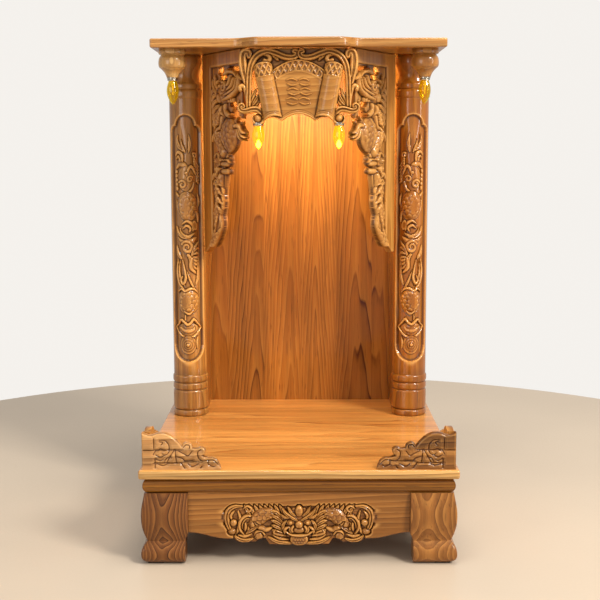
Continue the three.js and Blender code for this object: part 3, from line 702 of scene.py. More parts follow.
SHAPES = {
    "round": lambda x: np.sqrt(np.clip(1 - x * x, 0, 1)),
    "soft": lambda x: np.clip(1 - x * x, 0, 1),
    "flat": lambda x: np.clip(1 - x ** 6, 0, 1) ** 0.5,
    "leaf": lambda x: np.sqrt(np.clip(1 - x * x, 0, 1)) * (1 - 0.5 * ridge(x, 0, 0.2)),
    "dish": lambda x: np.sqrt(np.clip(1 - x ** 8, 0, 1)) * (0.35 + 0.65 * x ** 2),
    "roof": lambda x: np.clip(1 - x, 0, 1),
    "double": lambda x: np.sqrt(np.clip(1 - x ** 4, 0, 1)) * (1 - 0.45 * ridge(x, 0.15, 0.16)),
}
GROOVE, CUT = 1.3, 0.9  # width and depth of the groove round a form


# %% Carving
class Carving:
    """Heights in mm over the points (u, v) of one carved face.

    inside keeps how far each point lies within the laid forms, for faces that are pierced. bold
    widens every stroke, bite is the height of the scales, and base is added to every level."""

    def __init__(self, u, v, ground=0.0, bold=1.0, bite=1.5, base=0.0):
        self.u, self.v, self.bold, self.bite, self.base = u, v, bold, bite, base
        self.h = np.zeros(u.shape) + ground
        self.inside = np.full(u.shape, -99.0)

    def near(self, low, high, margin):
        return ((self.u > low[0] - margin) & (self.u < high[0] + margin)
                & (self.v > low[1] - margin) & (self.v < high[1] + margin))

    def lay(self, pick, inside, height, groove, depth):
        h = self.h[pick]
        cut = h - depth * np.clip(1 + inside / groove, 0, 1)
        self.h[pick] = np.where(inside > 0, height, np.minimum(h, cut))
        self.inside[pick] = np.maximum(self.inside[pick], inside)

    def form(self, pick, inside, x, height, run, across, level, depth, scale, on):
        """Lay one form, with scales if it has them, or add it to what is there if on is set."""
        if scale:
            height = height + self.bite * scales(run, across, scale) * np.clip((1 - x) * 3, 0, 1)
        if on:
            self.h[pick] += np.where(inside > 0, height, 0)
        else:
            self.lay(pick, inside, self.base + level + height, GROOVE, depth)

    def stroke(self, points, kind, width, rise, level, start, end, depth=CUT, scale=0, on=0):
        """A form along a curve. Its half width swells from a share of it at the start to the full
        width in the middle and falls to a share at the end; its height is level plus rise times
        the shape across it."""
        path = curve(points) if len(points) > 2 else np.asarray(points, float)
        width = width * self.bold
        pick = self.near(path.min(0), path.max(0), width + 2)
        if not pick.any():
            return
        d, t, across, run = nearest(self.u[pick], self.v[pick], path)
        shares = [start, 0.5 + start / 2, 1, 0.55 + end / 2, end]
        w = np.maximum(width * np.interp(t, [0, 0.2, 0.55, 0.85, 1], shares), 0.15)
        x = np.clip(d / w, 0, 1)
        height = rise * SHAPES[kind](x) * (0.55 + 0.45 * w / width)
        self.form(pick, w - d, x, height, run, across, level, depth, scale, on)

    def dome(self, points, kind, ru, rv, rise, level, turn=0.0, depth=CUT, scale=0, on=0):
        """An oval form: x is the distance from its centre over its radius in that direction."""
        (u, v), = points
        pick = self.near((u, v), (u, v), max(ru, rv) + 2)
        if not pick.any():
            return
        du, dv = self.u[pick] - u, self.v[pick] - v
        c, s = math.cos(turn), math.sin(turn)
        a, b = (du * c + dv * s) / ru, (dv * c - du * s) / rv
        x = np.hypot(a, b)
        height = rise * SHAPES[kind](np.clip(x, 0, 1))
        self.form(pick, (1 - x) * min(ru, rv), x, height, b * rv + 50, a * ru, level, depth, scale, on)

    def spiral(self, points, kind, outer, turns, width, rise, start, level, hand):
        """A volute: the radius shrinks evenly from outer to a quarter of it over the turns."""
        (u, v), = points
        t = np.linspace(0, 1, int(14 * turns) + 4)
        a = start + hand * 2 * math.pi * turns * t
        r = outer * (1 - 0.75 * t)
        path = np.stack([u + r * np.cos(a), v + r * np.sin(a)], -1)
        self.dome(points, kind, outer * 0.9, outer * 0.9, rise * 0.25, level, depth=0)
        self.stroke(path, kind, width, rise, level, 0.9, 0.5)

    def tufts(self, points, kind, count, width, rise, level, bend):
        """A fan of locks between a line of roots and a line of tips, each bent to one side."""
        for t in np.linspace(0, 1, int(count)):
            a = (1 - t) * points[0] + t * points[1]
            b = (1 - t) * points[2] + t * points[3]
            side = np.array([a[1] - b[1], b[0] - a[0]]) * bend
            self.stroke([a, (a + b) / 2 + side, b], kind, width, rise, level, 0.7, 0.05)


# %% Drawings
def pairs(text, side=1):
    """The x y pairs of a row as an array, mirrored when side is -1."""
    return np.array([[side * float(x), float(y)] for x, y in map(str.split, text.split(","))])


def form_rows(drawing):
    """The rows of a drawing without its comments."""
    return [row for row in drawing.strip().splitlines() if not row.startswith("#")]


def draw(c, drawing, side=1):
    """Lay the forms of a drawing in order, one row each, mirrored when side is -1.

    A row starts with a shape, which alone is a stroke; dome, spiral or tufts before a dash makes
    one of those. Then come the form's numbers in the order of its method, a colon, and its points
    as x y pairs. After a second colon, "n x" and shifts repeat it n times, moved by the shifts."""
    for row in form_rows(drawing):
        head, places, *again = row.split(":")
        words = head.split()
        form, _, kind = words[0].rpartition("-")
        sizes = [float(word) for word in words[1:] if "=" not in word]
        extra = {key: float(value) for key, value in (w.split("=") for w in words if "=" in w)}
        count, _, shifts = (again[0] if again else "1 x 0 0").partition("x")
        for k in range(int(count)):
            points = pairs(places, side) + k * pairs(shifts, side)
            getattr(c, form or "stroke")(points, kind, *sizes, **extra)


def soften(h, passes):
    """Each point becomes the mean of itself and its four neighbours, again and again."""
    for _ in range(passes):
        p = np.pad(h, 1, mode="edge")
        h = (p[1:-1, 1:-1] * 2 + p[:-2, 1:-1] + p[2:, 1:-1] + p[1:-1, :-2] + p[1:-1, 2:]) / 6
    return h


def hollows(h, passes, scale):
    """Height above the neighbourhood's mean, in -1 (hollow) to 1 (crown)."""
    return np.clip((h - soften(h, passes)) / scale, -1, 1)


print("shapes for strokes:", sorted(SHAPES))

# %% [markdown]
# ## Columns
# A column is turned on a lathe, then a long capsule is sunk in its front and the dragon is carved in
# the sunk field. The mesh is one grid wrapped round the column: across it runs the distance round
# the shaft, up it the height. The grid is fine over the carving and coarse behind. Each point's
# radius is the turned profile plus the carved height.

# %% Turned profile of a column
# A bead is its lower and upper end, its radius and the power that squares its section.
BEADS = ((147, 159, 31.6, 4), (159, 194.8, 31.2, 14), (194.8, 208.2, 31.2, 4),
         (208.2, 222.4, 31.6, 4), (709.5, 725.5, 31.4, 4), (725.5, 737, 30.6, 4))
COVE = [(28.0, 737), (25.8, 744), (25.6, 752), (28.4, 761), (31.2, 768), (31.6, 774), (31.2, 780),
        (29.2, 784)]
FIELD_HALF, FIELD_LOW, FIELD_HIGH = 32.0, 279.3, 651
LOBE, LOBE_Z, SHOULDER = 19.0, 663.0, 13.0
FIELD_DEPTH, DRAGON_BASE, PROUD = -4.8, -3.5, 2.8


def column_radius(z):
    """The shaft's radius: beads are r - 2.6 |x|^n across their height, the neck a smooth cove."""
    r = np.full(z.shape, SHAFT)
    for low, high, big, power in BEADS:
        x = (z - (low + high) / 2) / ((high - low) / 2)
        r = np.where(abs(x) <= 1, big - 2.6 * abs(x) ** power, r)
    neck = curve(COVE, 6)
    return np.where(z > COVE[0][1], np.interp(z, neck[:, 1], neck[:, 0]), r)


def field_inside(u, v):
    """How far a point lies inside the sunk field: a capsule below, a lobe between shoulders above."""
    a = abs(u)
    low = FIELD_HALF - np.hypot(u, np.minimum(v - FIELD_LOW, 0))
    shoulder = SHOULDER - np.hypot(np.maximum(a - LOBE, 0), np.maximum(v - FIELD_HIGH, 0))
    shoulder = np.where((v > FIELD_HIGH) | (a > LOBE), shoulder, SHOULDER)
    body = np.minimum(low, np.where(v > FIELD_HIGH, shoulder, 99))
    return np.maximum(body, LOBE - np.hypot(u, np.maximum(v - LOBE_Z, 0)) - np.maximum(0, 640 - v))


print("radius at half height:", float(column_radius(np.array([460.0]))[0]))

# %% The dragon among flames, clouds and leaves
# From the top of the field down to the ripple at its foot.
COLUMN_DRAGON = """
# flames and whiskers above the head
leaf 3.2 2.6 0 .1 .3 : -16 648, -18 637, -12 627, -1 619
leaf 2.2 1.8 0 .1 .3 : -8 640, -7 630, 0 617
leaf 2.4 1.5 0 .1 .4 : 6 650, 8 634, 6 618
round 3 2.8 0 .3 .4 : -22 612, -16 618, -8 614, -6 600
round 1.8 2.6 .3 .2 .4 : -20 605, -15 611, -11 606, -10 597
spiral-round 4.6 1.1 1.5 2.4 2.4 0 -1 : 17 612
tufts-leaf 6 2.4 2.6 0 -.15 : 17 606, 18 585, 29 592, 29 562
# brow, head and jaw
soft 4 2.2 0 .3 .4 : -20 590, -12 597, -2 594, 2 580
dome-soft 19 22 1.6 0 : 2 572
round 2.2 2.2 .9 .5 .3 : 2 577, 6 590, 12 592, 19 579
dome-round 2.9 4 2.4 .4 : -20 584 : 5 x .6 -7.2
spiral-round 7.2 1.2 1.9 2 2.6 1 -1 : -6 562
spiral-round 5.6 1.2 1.6 2 .6 1 1 : 8 571
dome-round 3.4 3 2.2 1.2 : 1 582
round 2.1 2.6 .6 .4 .3 : -21 548, -12 541, 2 546, 12 555, 15 566
# scaled body that ends in a rounded tail lobe
dome-soft 21 26 2.8 0 turn=.12 scale=9.5 : 3 524
round 2.4 2.2 0 .3 .3 : 12 508, 17 515, 23 508, 24 496
leaf 2 1.9 0 .2 .3 : -19 536, -17 520, -10 508
leaf 2.2 2 0 .2 .3 : 24 545, 27 532, 22 520
# fronds and the first cloud
round 2.2 2.8 .2 .3 .4 : -9 492, 1 498, 11 491, 12 481
round 2 2.8 .2 .3 .4 : -8 484, 0 490, 7 485, 5 479
leaf 2.6 3 .2 .1 .4 : -22 489, -17 478, -7 470, 6 469
leaf 2 2.8 .2 .1 .4 : -14 486, -9 476, 2 471, 14 476
dome-dish 5.4 9 2.2 0 turn=.2 : 16 490
soft 4.4 2.2 0 .1 .1 : -20 470, -10 463, 6 462, 20 470
spiral-round 11 1.5 2.4 2.4 2.6 0 -1 : 0 452
leaf 2.6 2.4 0 .1 .4 : 24 462, 14 450, 8 436
leaf 3 2.3 0 .1 .4 : -23 455, -20 441, -12 432
tufts-leaf 4 2 2.2 0 .15 : 14 446, 10 428, 26 450, 24 418
# long leaves round a C-shaped curl
tufts-round 4 3 2.8 0 -.2 : 2 438, 8 432, 24 428, 18 404
round 2.6 2.6 0 .2 .2 : -20 430, -23 408, -17 388, -5 376
round 1.6 2.2 0 .2 .2 : -15 428, -17 410, -13 392, -4 383
round 2 2.6 0 .2 .6 : -9 430, -5 412, -3 397, -8 387, -13 393, -10 400
leaf 1.8 2.2 0 .2 .3 : -1 410, 6 391, 17 371
leaf 2.6 2 0 .2 .2 : 20 420, 22 400, 16 384
# lotus bud of overlapping petals
dome-soft 23 23 2.8 0 scale=10 : 2 356
round 2 2.6 .4 .3 .3 : -20 372, -12 378, -4 374, 4 378, 13 377, 21 370
round 2 2.4 .3 .2 .2 : -9 342, -2 335, 4 334, 11 341
round 1 1.2 0 .8 .8 : -5 332, -5 322
# fungus head: a cusped oval with a rolled rim
dome-soft 24 12 1.6 0 : 0 305
round 1.9 3 .4 .5 .5 : -27 311, -19 315, -13 323, -6 318, -1 314, 5 317, 11 323, 19 316, 27 309
round 1.7 3 .4 .5 .5 : -27 310, -17 298, -3 291, 12 294, 27 308
soft 3.2 2 1.2 .3 .3 : -15 309, -4 303, 8 304, 12 309
# a ripple of rings over the foot of the field
dome-soft 17 17 1.4 0 depth=1.2 : -1 277
dome-soft 12.5 12.5 2.1 0 depth=1.2 : -1 277
dome-soft 8.2 8.2 2.8 0 depth=1.2 : -1 277
dome-soft 4.2 4.2 3.6 0 depth=1.2 : -1 277
round 1.8 2 0 .3 .3 : 20 292, 17 282, 18 270
"""
print("rows of forms on a column:", len(form_rows(COLUMN_DRAGON)))


# %% Columns as one wrapped grid each
def column(side, spacing=0.84, lift=1.04):
    """Place (u, z): angle u / shaft radius from the front, radius from the profile and the carving."""
    half_turn = math.pi * SHAFT
    fine = np.arange(-35, 35.01, spacing)
    coarse = np.linspace(35, 2 * half_turn - 35, 36)[1:-1]
    z = np.unique(np.round(np.concatenate([
        np.arange(DECK_TOP, 224, 1.0), np.arange(224, 247, 3.0), np.arange(247, 684, lift),
        np.arange(684, 709, 3.0), np.arange(709, 784.01, 1.2), [ROOF_UNDER]]), 3))
    U, Z = np.meshgrid(np.concatenate([fine, coarse]), z)
    inside = field_inside(U, Z)
    c = Carving(side * -U, Z, FIELD_DEPTH, 1.3, 2.6, DRAGON_BASE)
    draw(c, COLUMN_DRAGON)
    # the whole dragon swells like a winding body: a ridge whose middle sways with the height
    body = 3.7 * ridge(side * -U, 6 * np.sin(Z / 31), 15) * smooth(Z, 250, 290) - 0.8
    body = body * (1 - smooth(Z, 636, 670))
    carved = smooth(inside, -0.4, 1.1) * np.minimum(c.h + body, PROUD)
    carved = np.where(inside > -0.4, carved, 0) + 0.25 * ridge(inside, -1.2, 0.9)
    carved = np.where(abs(U) < 36, carved, 0)
    turned_radius = column_radius(Z)
    radius, a = turned_radius + carved, U / SHAFT
    points = np.stack([side * COLUMN_X + radius * np.sin(a), COLUMN_Y - radius * np.cos(a), Z], -1)
    # painted shade in the grooves between the lower beads; the whole band of rings below the field is
    # also marked darker
    grooves = np.clip((turned_radius - SHAFT - 0.2) / 2, -0.9, 0)
    mark = hollows(carved, 12, 1.0) + (grooves - 0.26) * (1 - smooth(Z, 224, 240))
    return loft(points), mark.ravel()


for sx, side in SIDES:
    (points, faces), mark = column(sx)
    skin(f"dragon_column_{side}", points, faces, column_woods[side], "carved_wood",
         [f"column_{side}"], mark, 45)
print("column points:", len(points))

# %% [markdown]
# ## Pierced plates
# The brackets, the crest and the corner rails are boards sawn and pierced to an outline, then carved
# on the front. To mesh one, a grid is laid over it and only the cells inside the outline are kept.
# Points just outside are pulled on to the outline, so that the sawn edge is smooth. The same points,
# moved back by the board's thickness, make its back, and a band of faces joins the two.


# %% Outlines and plates
def polygon_inside(u, v, outline):
    """Distance to a closed outline, positive inside by the odd-even rule."""
    p = np.asarray(outline, float)
    q = np.roll(p, -1, 0)
    flat_u, flat_v = u.ravel(), v.ravel()
    away = np.full(flat_u.shape, 1e9)
    odd = np.zeros(flat_u.shape, bool)
    for (u0, v0), (u1, v1) in zip(p, q):
        du, dv = u1 - u0, v1 - v0
        t = np.clip(((flat_u - u0) * du + (flat_v - v0) * dv) / max(du * du + dv * dv, 1e-9), 0, 1)
        away = np.minimum(away, np.hypot(flat_u - u0 - t * du, flat_v - v0 - t * dv))
        crosses = (v0 > flat_v) != (v1 > flat_v)
        odd ^= crosses & (flat_u < u0 + (flat_v - v0) * du / (dv if dv else 1e-9))
    return np.where(odd, away, -away).reshape(u.shape)


def plate(u, v, inside, front, back, place, passes, scale):
    """Points, faces and hollow marks of a pierced plate with heights front over its grid. passes and
    scale say how widely and how strongly the hollows are marked."""
    step = float(u[0, 1] - u[0, 0])
    keep = inside > 0.3 * step
    cell = keep[:-1, :-1] | keep[1:, :-1] | keep[:-1, 1:] | keep[1:, 1:]
    used = np.zeros(keep.shape, bool)
    low, high = slice(None, -1), slice(1, None)
    for corner in ((low, low), (high, low), (low, high), (high, high)):
        used[corner] |= cell
    dv, du = np.gradient(np.maximum(inside, -2.5), step)
    pull = np.where(used & ~keep, -inside, 0) / np.maximum(du * du + dv * dv, 0.2)
    su, sv = (at + np.clip(pull * slope, -1.1 * step, 1.1 * step) for at, slope in ((u, du), (v, dv)))
    count = int(used.sum())
    number = np.full(keep.shape, -1)
    number[used] = np.arange(count)
    quads = np.stack([number[low, low], number[low, high], number[high, high], number[high, low]], -1)
    quads = quads[cell]
    a, b = quads.ravel(), np.roll(quads, -1, 1).ravel()
    rim = ~np.isin(a * count + b, b * count + a)
    a, b = a[rim], b[rim]
    faces = [*quads.tolist(), *(quads[:, ::-1] + count).tolist(),
             *np.stack([b, a, a + count, b + count], -1).tolist()]
    sides = [place(su[used], sv[used], h) for h in (front[used], np.full(count, back))]
    mark = np.concatenate([hollows(front, passes, scale)[used], np.zeros(count)])
    return np.concatenate(sides), faces, mark


def grid(low, high, step):
    return np.meshgrid(*(np.arange(a, b + step, step) for a, b in zip(low, high)))


middle = polygon_inside(np.array([[0.5]]), np.array([[0.5]]), [(0, 0), (1, 0), (1, 1), (0, 1)])
print("a unit square holds its middle by", float(middle[0, 0]))

# %% [markdown]
# ## Dragon brackets
# A bracket stands edge-on in each front corner of the niche, turned so that its carved face looks
# outwards and forwards. A plain stile and a top strip frame it. Between them a dragon climbs: its
# head with a curled snout under the roof, its mane along the stile, a scaled body, clawed feet, and
# a tail that runs down into the column. The gaps round it are sawn through.

# %% Bracket outline and openings
WING_FRONT, WING_BACK = np.array([95.5, -16.0]), np.array([166.0, 97.0])
WING_LENGTH, WING_LOW, WING_TOP, WING_THICKNESS = 136.0, 443, 783.7, 12.0
STILE, TOP_STRIP, PANEL_DEPTH = 104, 760.5, -3.0
wing_edge = [(128, WING_LOW), (117, 452), (95, 470), (82, 490), (73, 515), (67, 535), (63, 555),
             (58, 574), (55, 622), (36, 632), (20, 643), (8, 655), (0, 676), (0, WING_TOP),
             (WING_LENGTH, WING_TOP), (WING_LENGTH, WING_LOW)]
wing_holes = [pairs(row) for row in (
    "9 738, 22 749, 42 752, 42 758, 9 756",
    "51 742, 62 748, 63 759, 81 758, 82 750, 73 744, 78 738, 62 735",
    "17 700, 43 700, 43 694, 30 690, 41 676, 26 671, 11 678, 9 694",
    "73 625, 87 625, 87 615, 76 618",
    "86 561, 103 562, 104 508, 99 508, 96 521, 90 542, 86 553",
    "91 507, 104 506, 104 491, 94 500",
    "88 492, 94 492, 104 483, 104 475, 94 482",
    "2 668, 12 664, 22 668, 16 676, 4 676")]


def wing_place(side):
    """A point u along the board from its front end, v up, h out of its carved face."""
    along = (WING_BACK - WING_FRONT) / np.linalg.norm(WING_BACK - WING_FRONT)

    def place(u, v, h):
        x = side * (WING_FRONT[0] + along[0] * u + along[1] * h)
        return np.stack([x, WING_FRONT[1] + along[1] * u - along[0] * h, v], -1)
    return place


print("openings sawn through a bracket:", len(wing_holes))

# %% The climbing dragon
CLIMBING_DRAGON = """
# tail and its fronds
soft 12 5.6 -2 1 .15 scale=8.5 : 84 604, 78 578, 80 552, 77 534, 84 512, 81 494, 92 474, \
    108 456, 127 444
leaf 4.5 3.6 -.6 .3 .1 : 74 512, 76 496, 86 480
leaf 4 3.2 -.8 .3 .1 : 94 508, 92 492, 100 476
tufts-leaf 3 3.2 3 -2 .18 : 90 552, 92 520, 100 540, 101 512
tufts-leaf 3 3.2 3 -2 -.15 : 74 560, 74 530, 65 546, 67 520
# hind foot: crossed toes, ring ornaments and three square claws over the edge
dome-soft 24 15 3 -2.4 : 66 606
leaf 4.4 4.4 -1.6 .5 .4 : 41 619, 58 607, 76 596
leaf 4 4.6 -1.4 .5 .3 : 70 620, 57 610, 41 600
leaf 3.6 4.6 -1.2 .5 .3 : 80 616, 70 606, 66 594
round 4.4 4.8 -4 1 .8 depth=1.6 : 49.5 585.2, 68 585.2 : 3 x 0 13
dome-soft 6.5 6.5 3 -1.6 depth=.8 : 90 602
dome-soft 4.29 4.29 4.2 -1.6 depth=.8 : 90 602
dome-soft 2.21 2.21 5.2 -1.6 depth=.8 : 90 602
dome-soft 9 9 3 -1.6 depth=.8 : 88 589
dome-soft 5.94 5.94 4.2 -1.6 depth=.8 : 88 589
dome-soft 3.06 3.06 5.2 -1.6 depth=.8 : 88 589
round 3.4 4 -1.4 .4 .3 : 72 584, 80 574, 94 580, 101 570
round 2.8 3.4 -1.4 .4 .3 : 78 566, 88 570, 98 562
# scaled body and neck
dome-soft 29 30 7.5 -2.6 turn=.35 scale=11 : 46 645
soft 12 7 -1.6 .8 .8 scale=9 : 58 618, 74 640, 74 664, 62 686
# raised foreleg with its claws, and the free claw past the board's edge
soft 4.6 5.4 0 .7 .3 : 60 676, 64 660, 76 655, 92 642
round 2.2 5 .2 .9 .1 : 80 654, 90 644, 96 634
round 2.2 5 .2 .9 .1 : 80 654, 84 645, 84 636
round 2.2 5 .2 .9 .1 : 80 654, 79 647, 74 640
soft 4.2 5 -3 .8 .4 : 22 660, 10 660, 2 652, -7 648
round 2.4 4.4 -2.6 .9 .2 : 6 654, -2 644, -11 640
round 2.4 4.4 -2.6 .9 .2 : 12 654, 6 642, -4 636
# mane along the stile, in two layers
tufts-leaf 6 4.2 3.8 -2 .2 : 84 722, 78 676, 103 712, 98 660
tufts-leaf 4 3.6 5 -1.2 .2 : 78 716, 74 684, 96 700, 91 664
leaf 3.2 4.6 -1.6 .8 .1 : 82 716, 92 726, 97 742
leaf 2.8 4.2 -1.6 .8 .1 : 76 722, 86 732, 89 748
# tongue and lower jaw
round 4.4 4.4 -2 .8 .3 : 52 700, 53 686, 40 678, 28 680
round 3 3.8 -2.4 .4 .3 : 8 700, 14 690, 26 690, 34 696
round 2 4.6 -1.8 .9 .1 : 22 704, 21 696 : 3 x 8 0
# head: cheek, curled snout with its folds, brow and eye
dome-soft 27 19 7.5 -2.4 turn=-.2 : 56 716
round 5 4.2 -1.6 .3 .4 : -5 734, 8 739, 22 749, 40 751, 56 746
round 3.6 5.6 0 .4 .4 : 2 735, 8 719, 32 709, 56 704
round 2.8 5.4 0 .4 .3 : 9 737, 16 722, 38 714, 58 711
round 2.8 5.4 0 .4 .3 : 19 738, 26 726, 42 719
round 2.6 5 0 .4 .3 : 30 742, 36 730, 46 726
spiral-round 8.5 1.4 2.2 3.6 1 2 1 : 52 725
dome-soft 9.5 8.5 4.2 .6 : 71 708
dome-round 4.2 3.6 3.6 1.4 : 66 727
round 2.4 4.6 1 .5 .3 : 58 734, 68 737, 78 731
"""
print("rows of forms on a bracket:", len(form_rows(CLIMBING_DRAGON)))


# %% Brackets
def bracket(side, step=1.1):
    """The board, less its holes, joined with the dragon's own forms, framed by stile and strip."""
    u, v = grid((-16, 442), (WING_LENGTH, 784.5), step)
    c = Carving(u, v, -3.4, 1.15, 2.8)
    draw(c, CLIMBING_DRAGON)
    holes = np.max([polygon_inside(u, v, hole) for hole in wing_holes], axis=0)
    inside = np.minimum(polygon_inside(u, v, wing_edge), -holes)
    inside = np.maximum(inside, np.where(v > 455, c.inside, -99))
    inside = np.minimum(np.minimum(inside, 0.8 - holes), np.minimum(WING_TOP - v, WING_LENGTH - u))
    frame_in = np.maximum(u - STILE, v - TOP_STRIP)
    flat = np.where(frame_in > 0, 0.0, PANEL_DEPTH) - 0.7 * ridge(frame_in, 0.2, 0.8)
    h = np.where((frame_in > -0.4) & ((c.h <= 0.4) | (frame_in > 3)), flat, c.h)
    h -= eased(inside, 1.6, 2.2)
    return plate(u, v, inside, h, -WING_THICKNESS, wing_place(side), 16, 1.5)


for sx, side in SIDES:
    points, faces, mark = bracket(sx)
    skin(f"dragon_bracket_{side}", points, faces, bracket_woods[side], "carved_wood",
         [f"wing_{side}"], mark, 50)
print("bracket points:", len(points))

# %% [markdown]
# ## Scroll crest
# Under the roof's bow hangs a board carved as an opened scroll: an arched sheet with a band of
# lattice, two rolled ends that lean outwards, and round them S-scrolls, leaves and curls sawn clear
# of each other. On the sheet run rows of short shallow strokes.

# %% Sheet and scrollwork
CREST_Y, CREST_TOP, CREST_THICKNESS = -28.0, 783.4, 11.5
ROLL_LOW, ROLL_HIGH = np.array([41.5, 670.0]), np.array([57.5, 753.0])
ROLL_RADIUS, ROLL_CAP = 15.2, 14.5


def outer_arc(u):
    return 764.7 - 18.2 * (u / 43.5) ** 2


def inner_arc(u):
    return 745.9 - 14.4 * (u / 37.5) ** 2


def lower_arch(u):
    """The sheet's lower edge: an arch in the middle that ends in two cusps and turns down again."""
    a = abs(u)
    outer = 667.5 + 5.5 * np.sin(np.clip((a - 27) / 30, 0, 1) * math.pi)
    return np.where(a < 27, 678.3 - 10.8 * (a / 27) ** 2, outer)


def lattice_bars(a, b, pitch):
    """Distance from the nearest bar of a lattice whose two sets of bars are where a or b repeats."""
    return np.minimum(abs(a % pitch - pitch / 2), abs(b % pitch - pitch / 2))


SCROLLWORK = """
double 6.8 6.4 -3.6 .3 .7 : 81 714, 85 730, 89 750, 90 766, 87.5 776, 81 776.5, 79.5 771
round 3.8 5.4 -3 .8 .9 : 82 692, 83 704, 85 715, 89 722.5, 94 722, 94 717.5
leaf 4.2 5 -4.4 .5 .1 : 81 688, 71 692, 61 703
leaf 4.2 5 -4 .5 .1 : 81 688, 71 698, 62 713
leaf 4.8 5.4 -3.8 .5 .1 : 82 689, 76 704, 67.5 720
leaf 3.8 5.4 -3.6 .8 .1 : 50 777, 41 773.5, 32 763
round 3.4 6 -3.2 .7 .9 : 66 771, 57 774, 48.5 771.5, 46 766, 50 762, 54.5 764
double 5.2 6.8 -3.2 .8 .8 : 81.5 690, 80.5 716, 79.5 740, 75.5 759, 66 772, 51 778, 37 775, \
    23 769.5, 11 768, 3.5 771, 2.6 776.5, 6.5 778
double 5.2 7.4 -3 .7 .9 : 89.5 690.5, 92 693, 95.5 690, 93 684.5, 85 683.5, 75 686, 66.5 685.5, \
    60 680, 58 671.5, 63 665.5, 70 666.5, 71 672
dome-soft 7.4 7.4 6.2 -3 depth=0 : 66 671.5
"""
print("rows of forms on half the crest:", len(form_rows(SCROLLWORK)))


# %% Rolled ends and the whole crest
def rolled_end(c, s):
    """A round bar: h = sqrt(r^2 - d^2) over its leaning axis, its ends cut by shallow arcs."""
    length = np.linalg.norm(ROLL_HIGH - ROLL_LOW)
    axis = (ROLL_HIGH - ROLL_LOW) / length
    du, dv = s * c.u - ROLL_LOW[0], c.v - ROLL_LOW[1]
    run = du * axis[0] + dv * axis[1]
    d = du * axis[1] - dv * axis[0]
    x = np.clip(abs(d) / ROLL_RADIUS, 0, 1)
    low = run - 5.0 * (1 - x * x)
    ends = np.minimum(low, length + 7.5 * np.sqrt(1 - x * x) - run)
    inside = np.minimum(ROLL_RADIUS - abs(d), ends)
    h = ROLL_RADIUS * np.sqrt(np.clip(1 - x * x, 0, 1)) * 0.86 - 1.0
    around_bar = np.arcsin(np.clip(d / ROLL_RADIUS, -1, 1)) * ROLL_RADIUS
    cap = run > length - ROLL_CAP
    bars = lattice_bars(around_bar + run * 0.6, around_bar - run * 0.6, 9.5)
    lattice = np.where(cap & (ends > 2.4), -2.0 * smooth(bars, 1.1, 2.2), 0)
    rims = 0.8 * np.exp(-((run - length + ROLL_CAP) / 1.3) ** 2) + 0.8 * ridge(ends, 1.3, 1.1) * cap
    seams = -0.9 * ridge(low, 4.2, 0.7) - 0.9 * ridge(low, 7.4, 0.7)
    pick = inside > -2
    c.lay(pick, inside[pick], (h + lattice + rims + seams)[pick], 1.4, 1.2)


def inscription(c):
    """Three rows of short shallow strokes, two groups a row and two strokes a group."""
    for row, z in enumerate((729, 714, 699)):
        for k in range(2):
            x = -10.5 + 20 * k + 2 * (row % 2)
            for du, dv, bend, width in ((0, 3.0, 2.4, 1.5), (1.5, -2.6, -2.6, 1.4)):
                path = [(x + du - 9, z + dv), (x + du - 1, z + dv + bend), (x + du + 8, z + dv - 0.6)]
                c.stroke(path, "soft", width, 2.9, 0, 0.7, 0.4, on=True)


def crest_face(u, v):
    c = Carving(u, v, -6.0)
    # the ground behind the top scrolls, between the sheet and the roof
    ground = np.minimum(np.minimum(v - 750, CREST_TOP - v), 87 - abs(u) - 0.6 * np.maximum(v - 770, 0))
    pick = ground > -1
    c.lay(pick, ground[pick], np.full(int(pick.sum()), -8.2), 1.0, 0.0)
    for s, _ in SIDES:
        draw(c, SCROLLWORK, s)
    outer, inner, low = outer_arc(u), inner_arc(u), v - lower_arch(u)
    inside = np.minimum(np.minimum(outer - v, low), 46 - abs(u))
    band = (v - inner) / (outer - inner)
    bars = lattice_bars(u + (v - 750) * 0.55, u - (v - 750) * 0.55, 9.6)
    sheet = 0.6 + 3.5 * smooth(abs(u), 24, 44) ** 2 - 0.6 * smooth(abs(u), 0, 20)
    lattice = np.where(band > 0, -1.7 * smooth(bars, 0.9, 2.0) * (band > 0.13) * (band < 0.87), 0)
    edges = 1.1 * np.exp(-((outer - v - 1.4) / 1.0) ** 2) + 0.9 * ridge(v, inner, 0.9)
    seams = -1.0 * ridge(low, 3.6, 0.7) - 1.0 * ridge(low, 6.6, 0.7)
    pick = inside > -2
    c.lay(pick, inside[pick], (sheet + lattice + edges + seams)[pick], 1.4, 1.2)
    inscription(c)
    for s, _ in SIDES:
        rolled_end(c, s)
    return c


u, v = grid((-99, 661), (99, 783.6), 0.82)
c = crest_face(u, v)
inside = np.minimum(c.inside, CREST_TOP - v)
points, faces, mark = plate(u, v, inside, c.h - eased(inside, 1.4, 1.6), -CREST_THICKNESS,
                            lambda a, b, k: np.stack([a, CREST_Y - k, b], -1), 14, 1.3)
skin("scroll_board", points, faces, crest_wood, "carved_wood", ["scroll_crest"], mark, 50)
print("crest points:", len(points))

# %% [markdown]
# ## Aprons
# Between the feet hang four boards. The front one carries a lion mask among manes, paws and curls,
# and its lower edge drops in lobes under the carving. The other three have one low cusped wave. Each
# board is a loft of upright sections, and on the front one the sections follow the carved heights.


# %% The lion mask
def masked_edge(u):
    a = abs(u)
    middle = 27 + 9.8 * smooth(a, 44, 52) - 5.6 * smooth(a, 60, 66)
    return middle + 6 * smooth(a, 92, 100) + 9.8 * smooth(a, 110, 167)


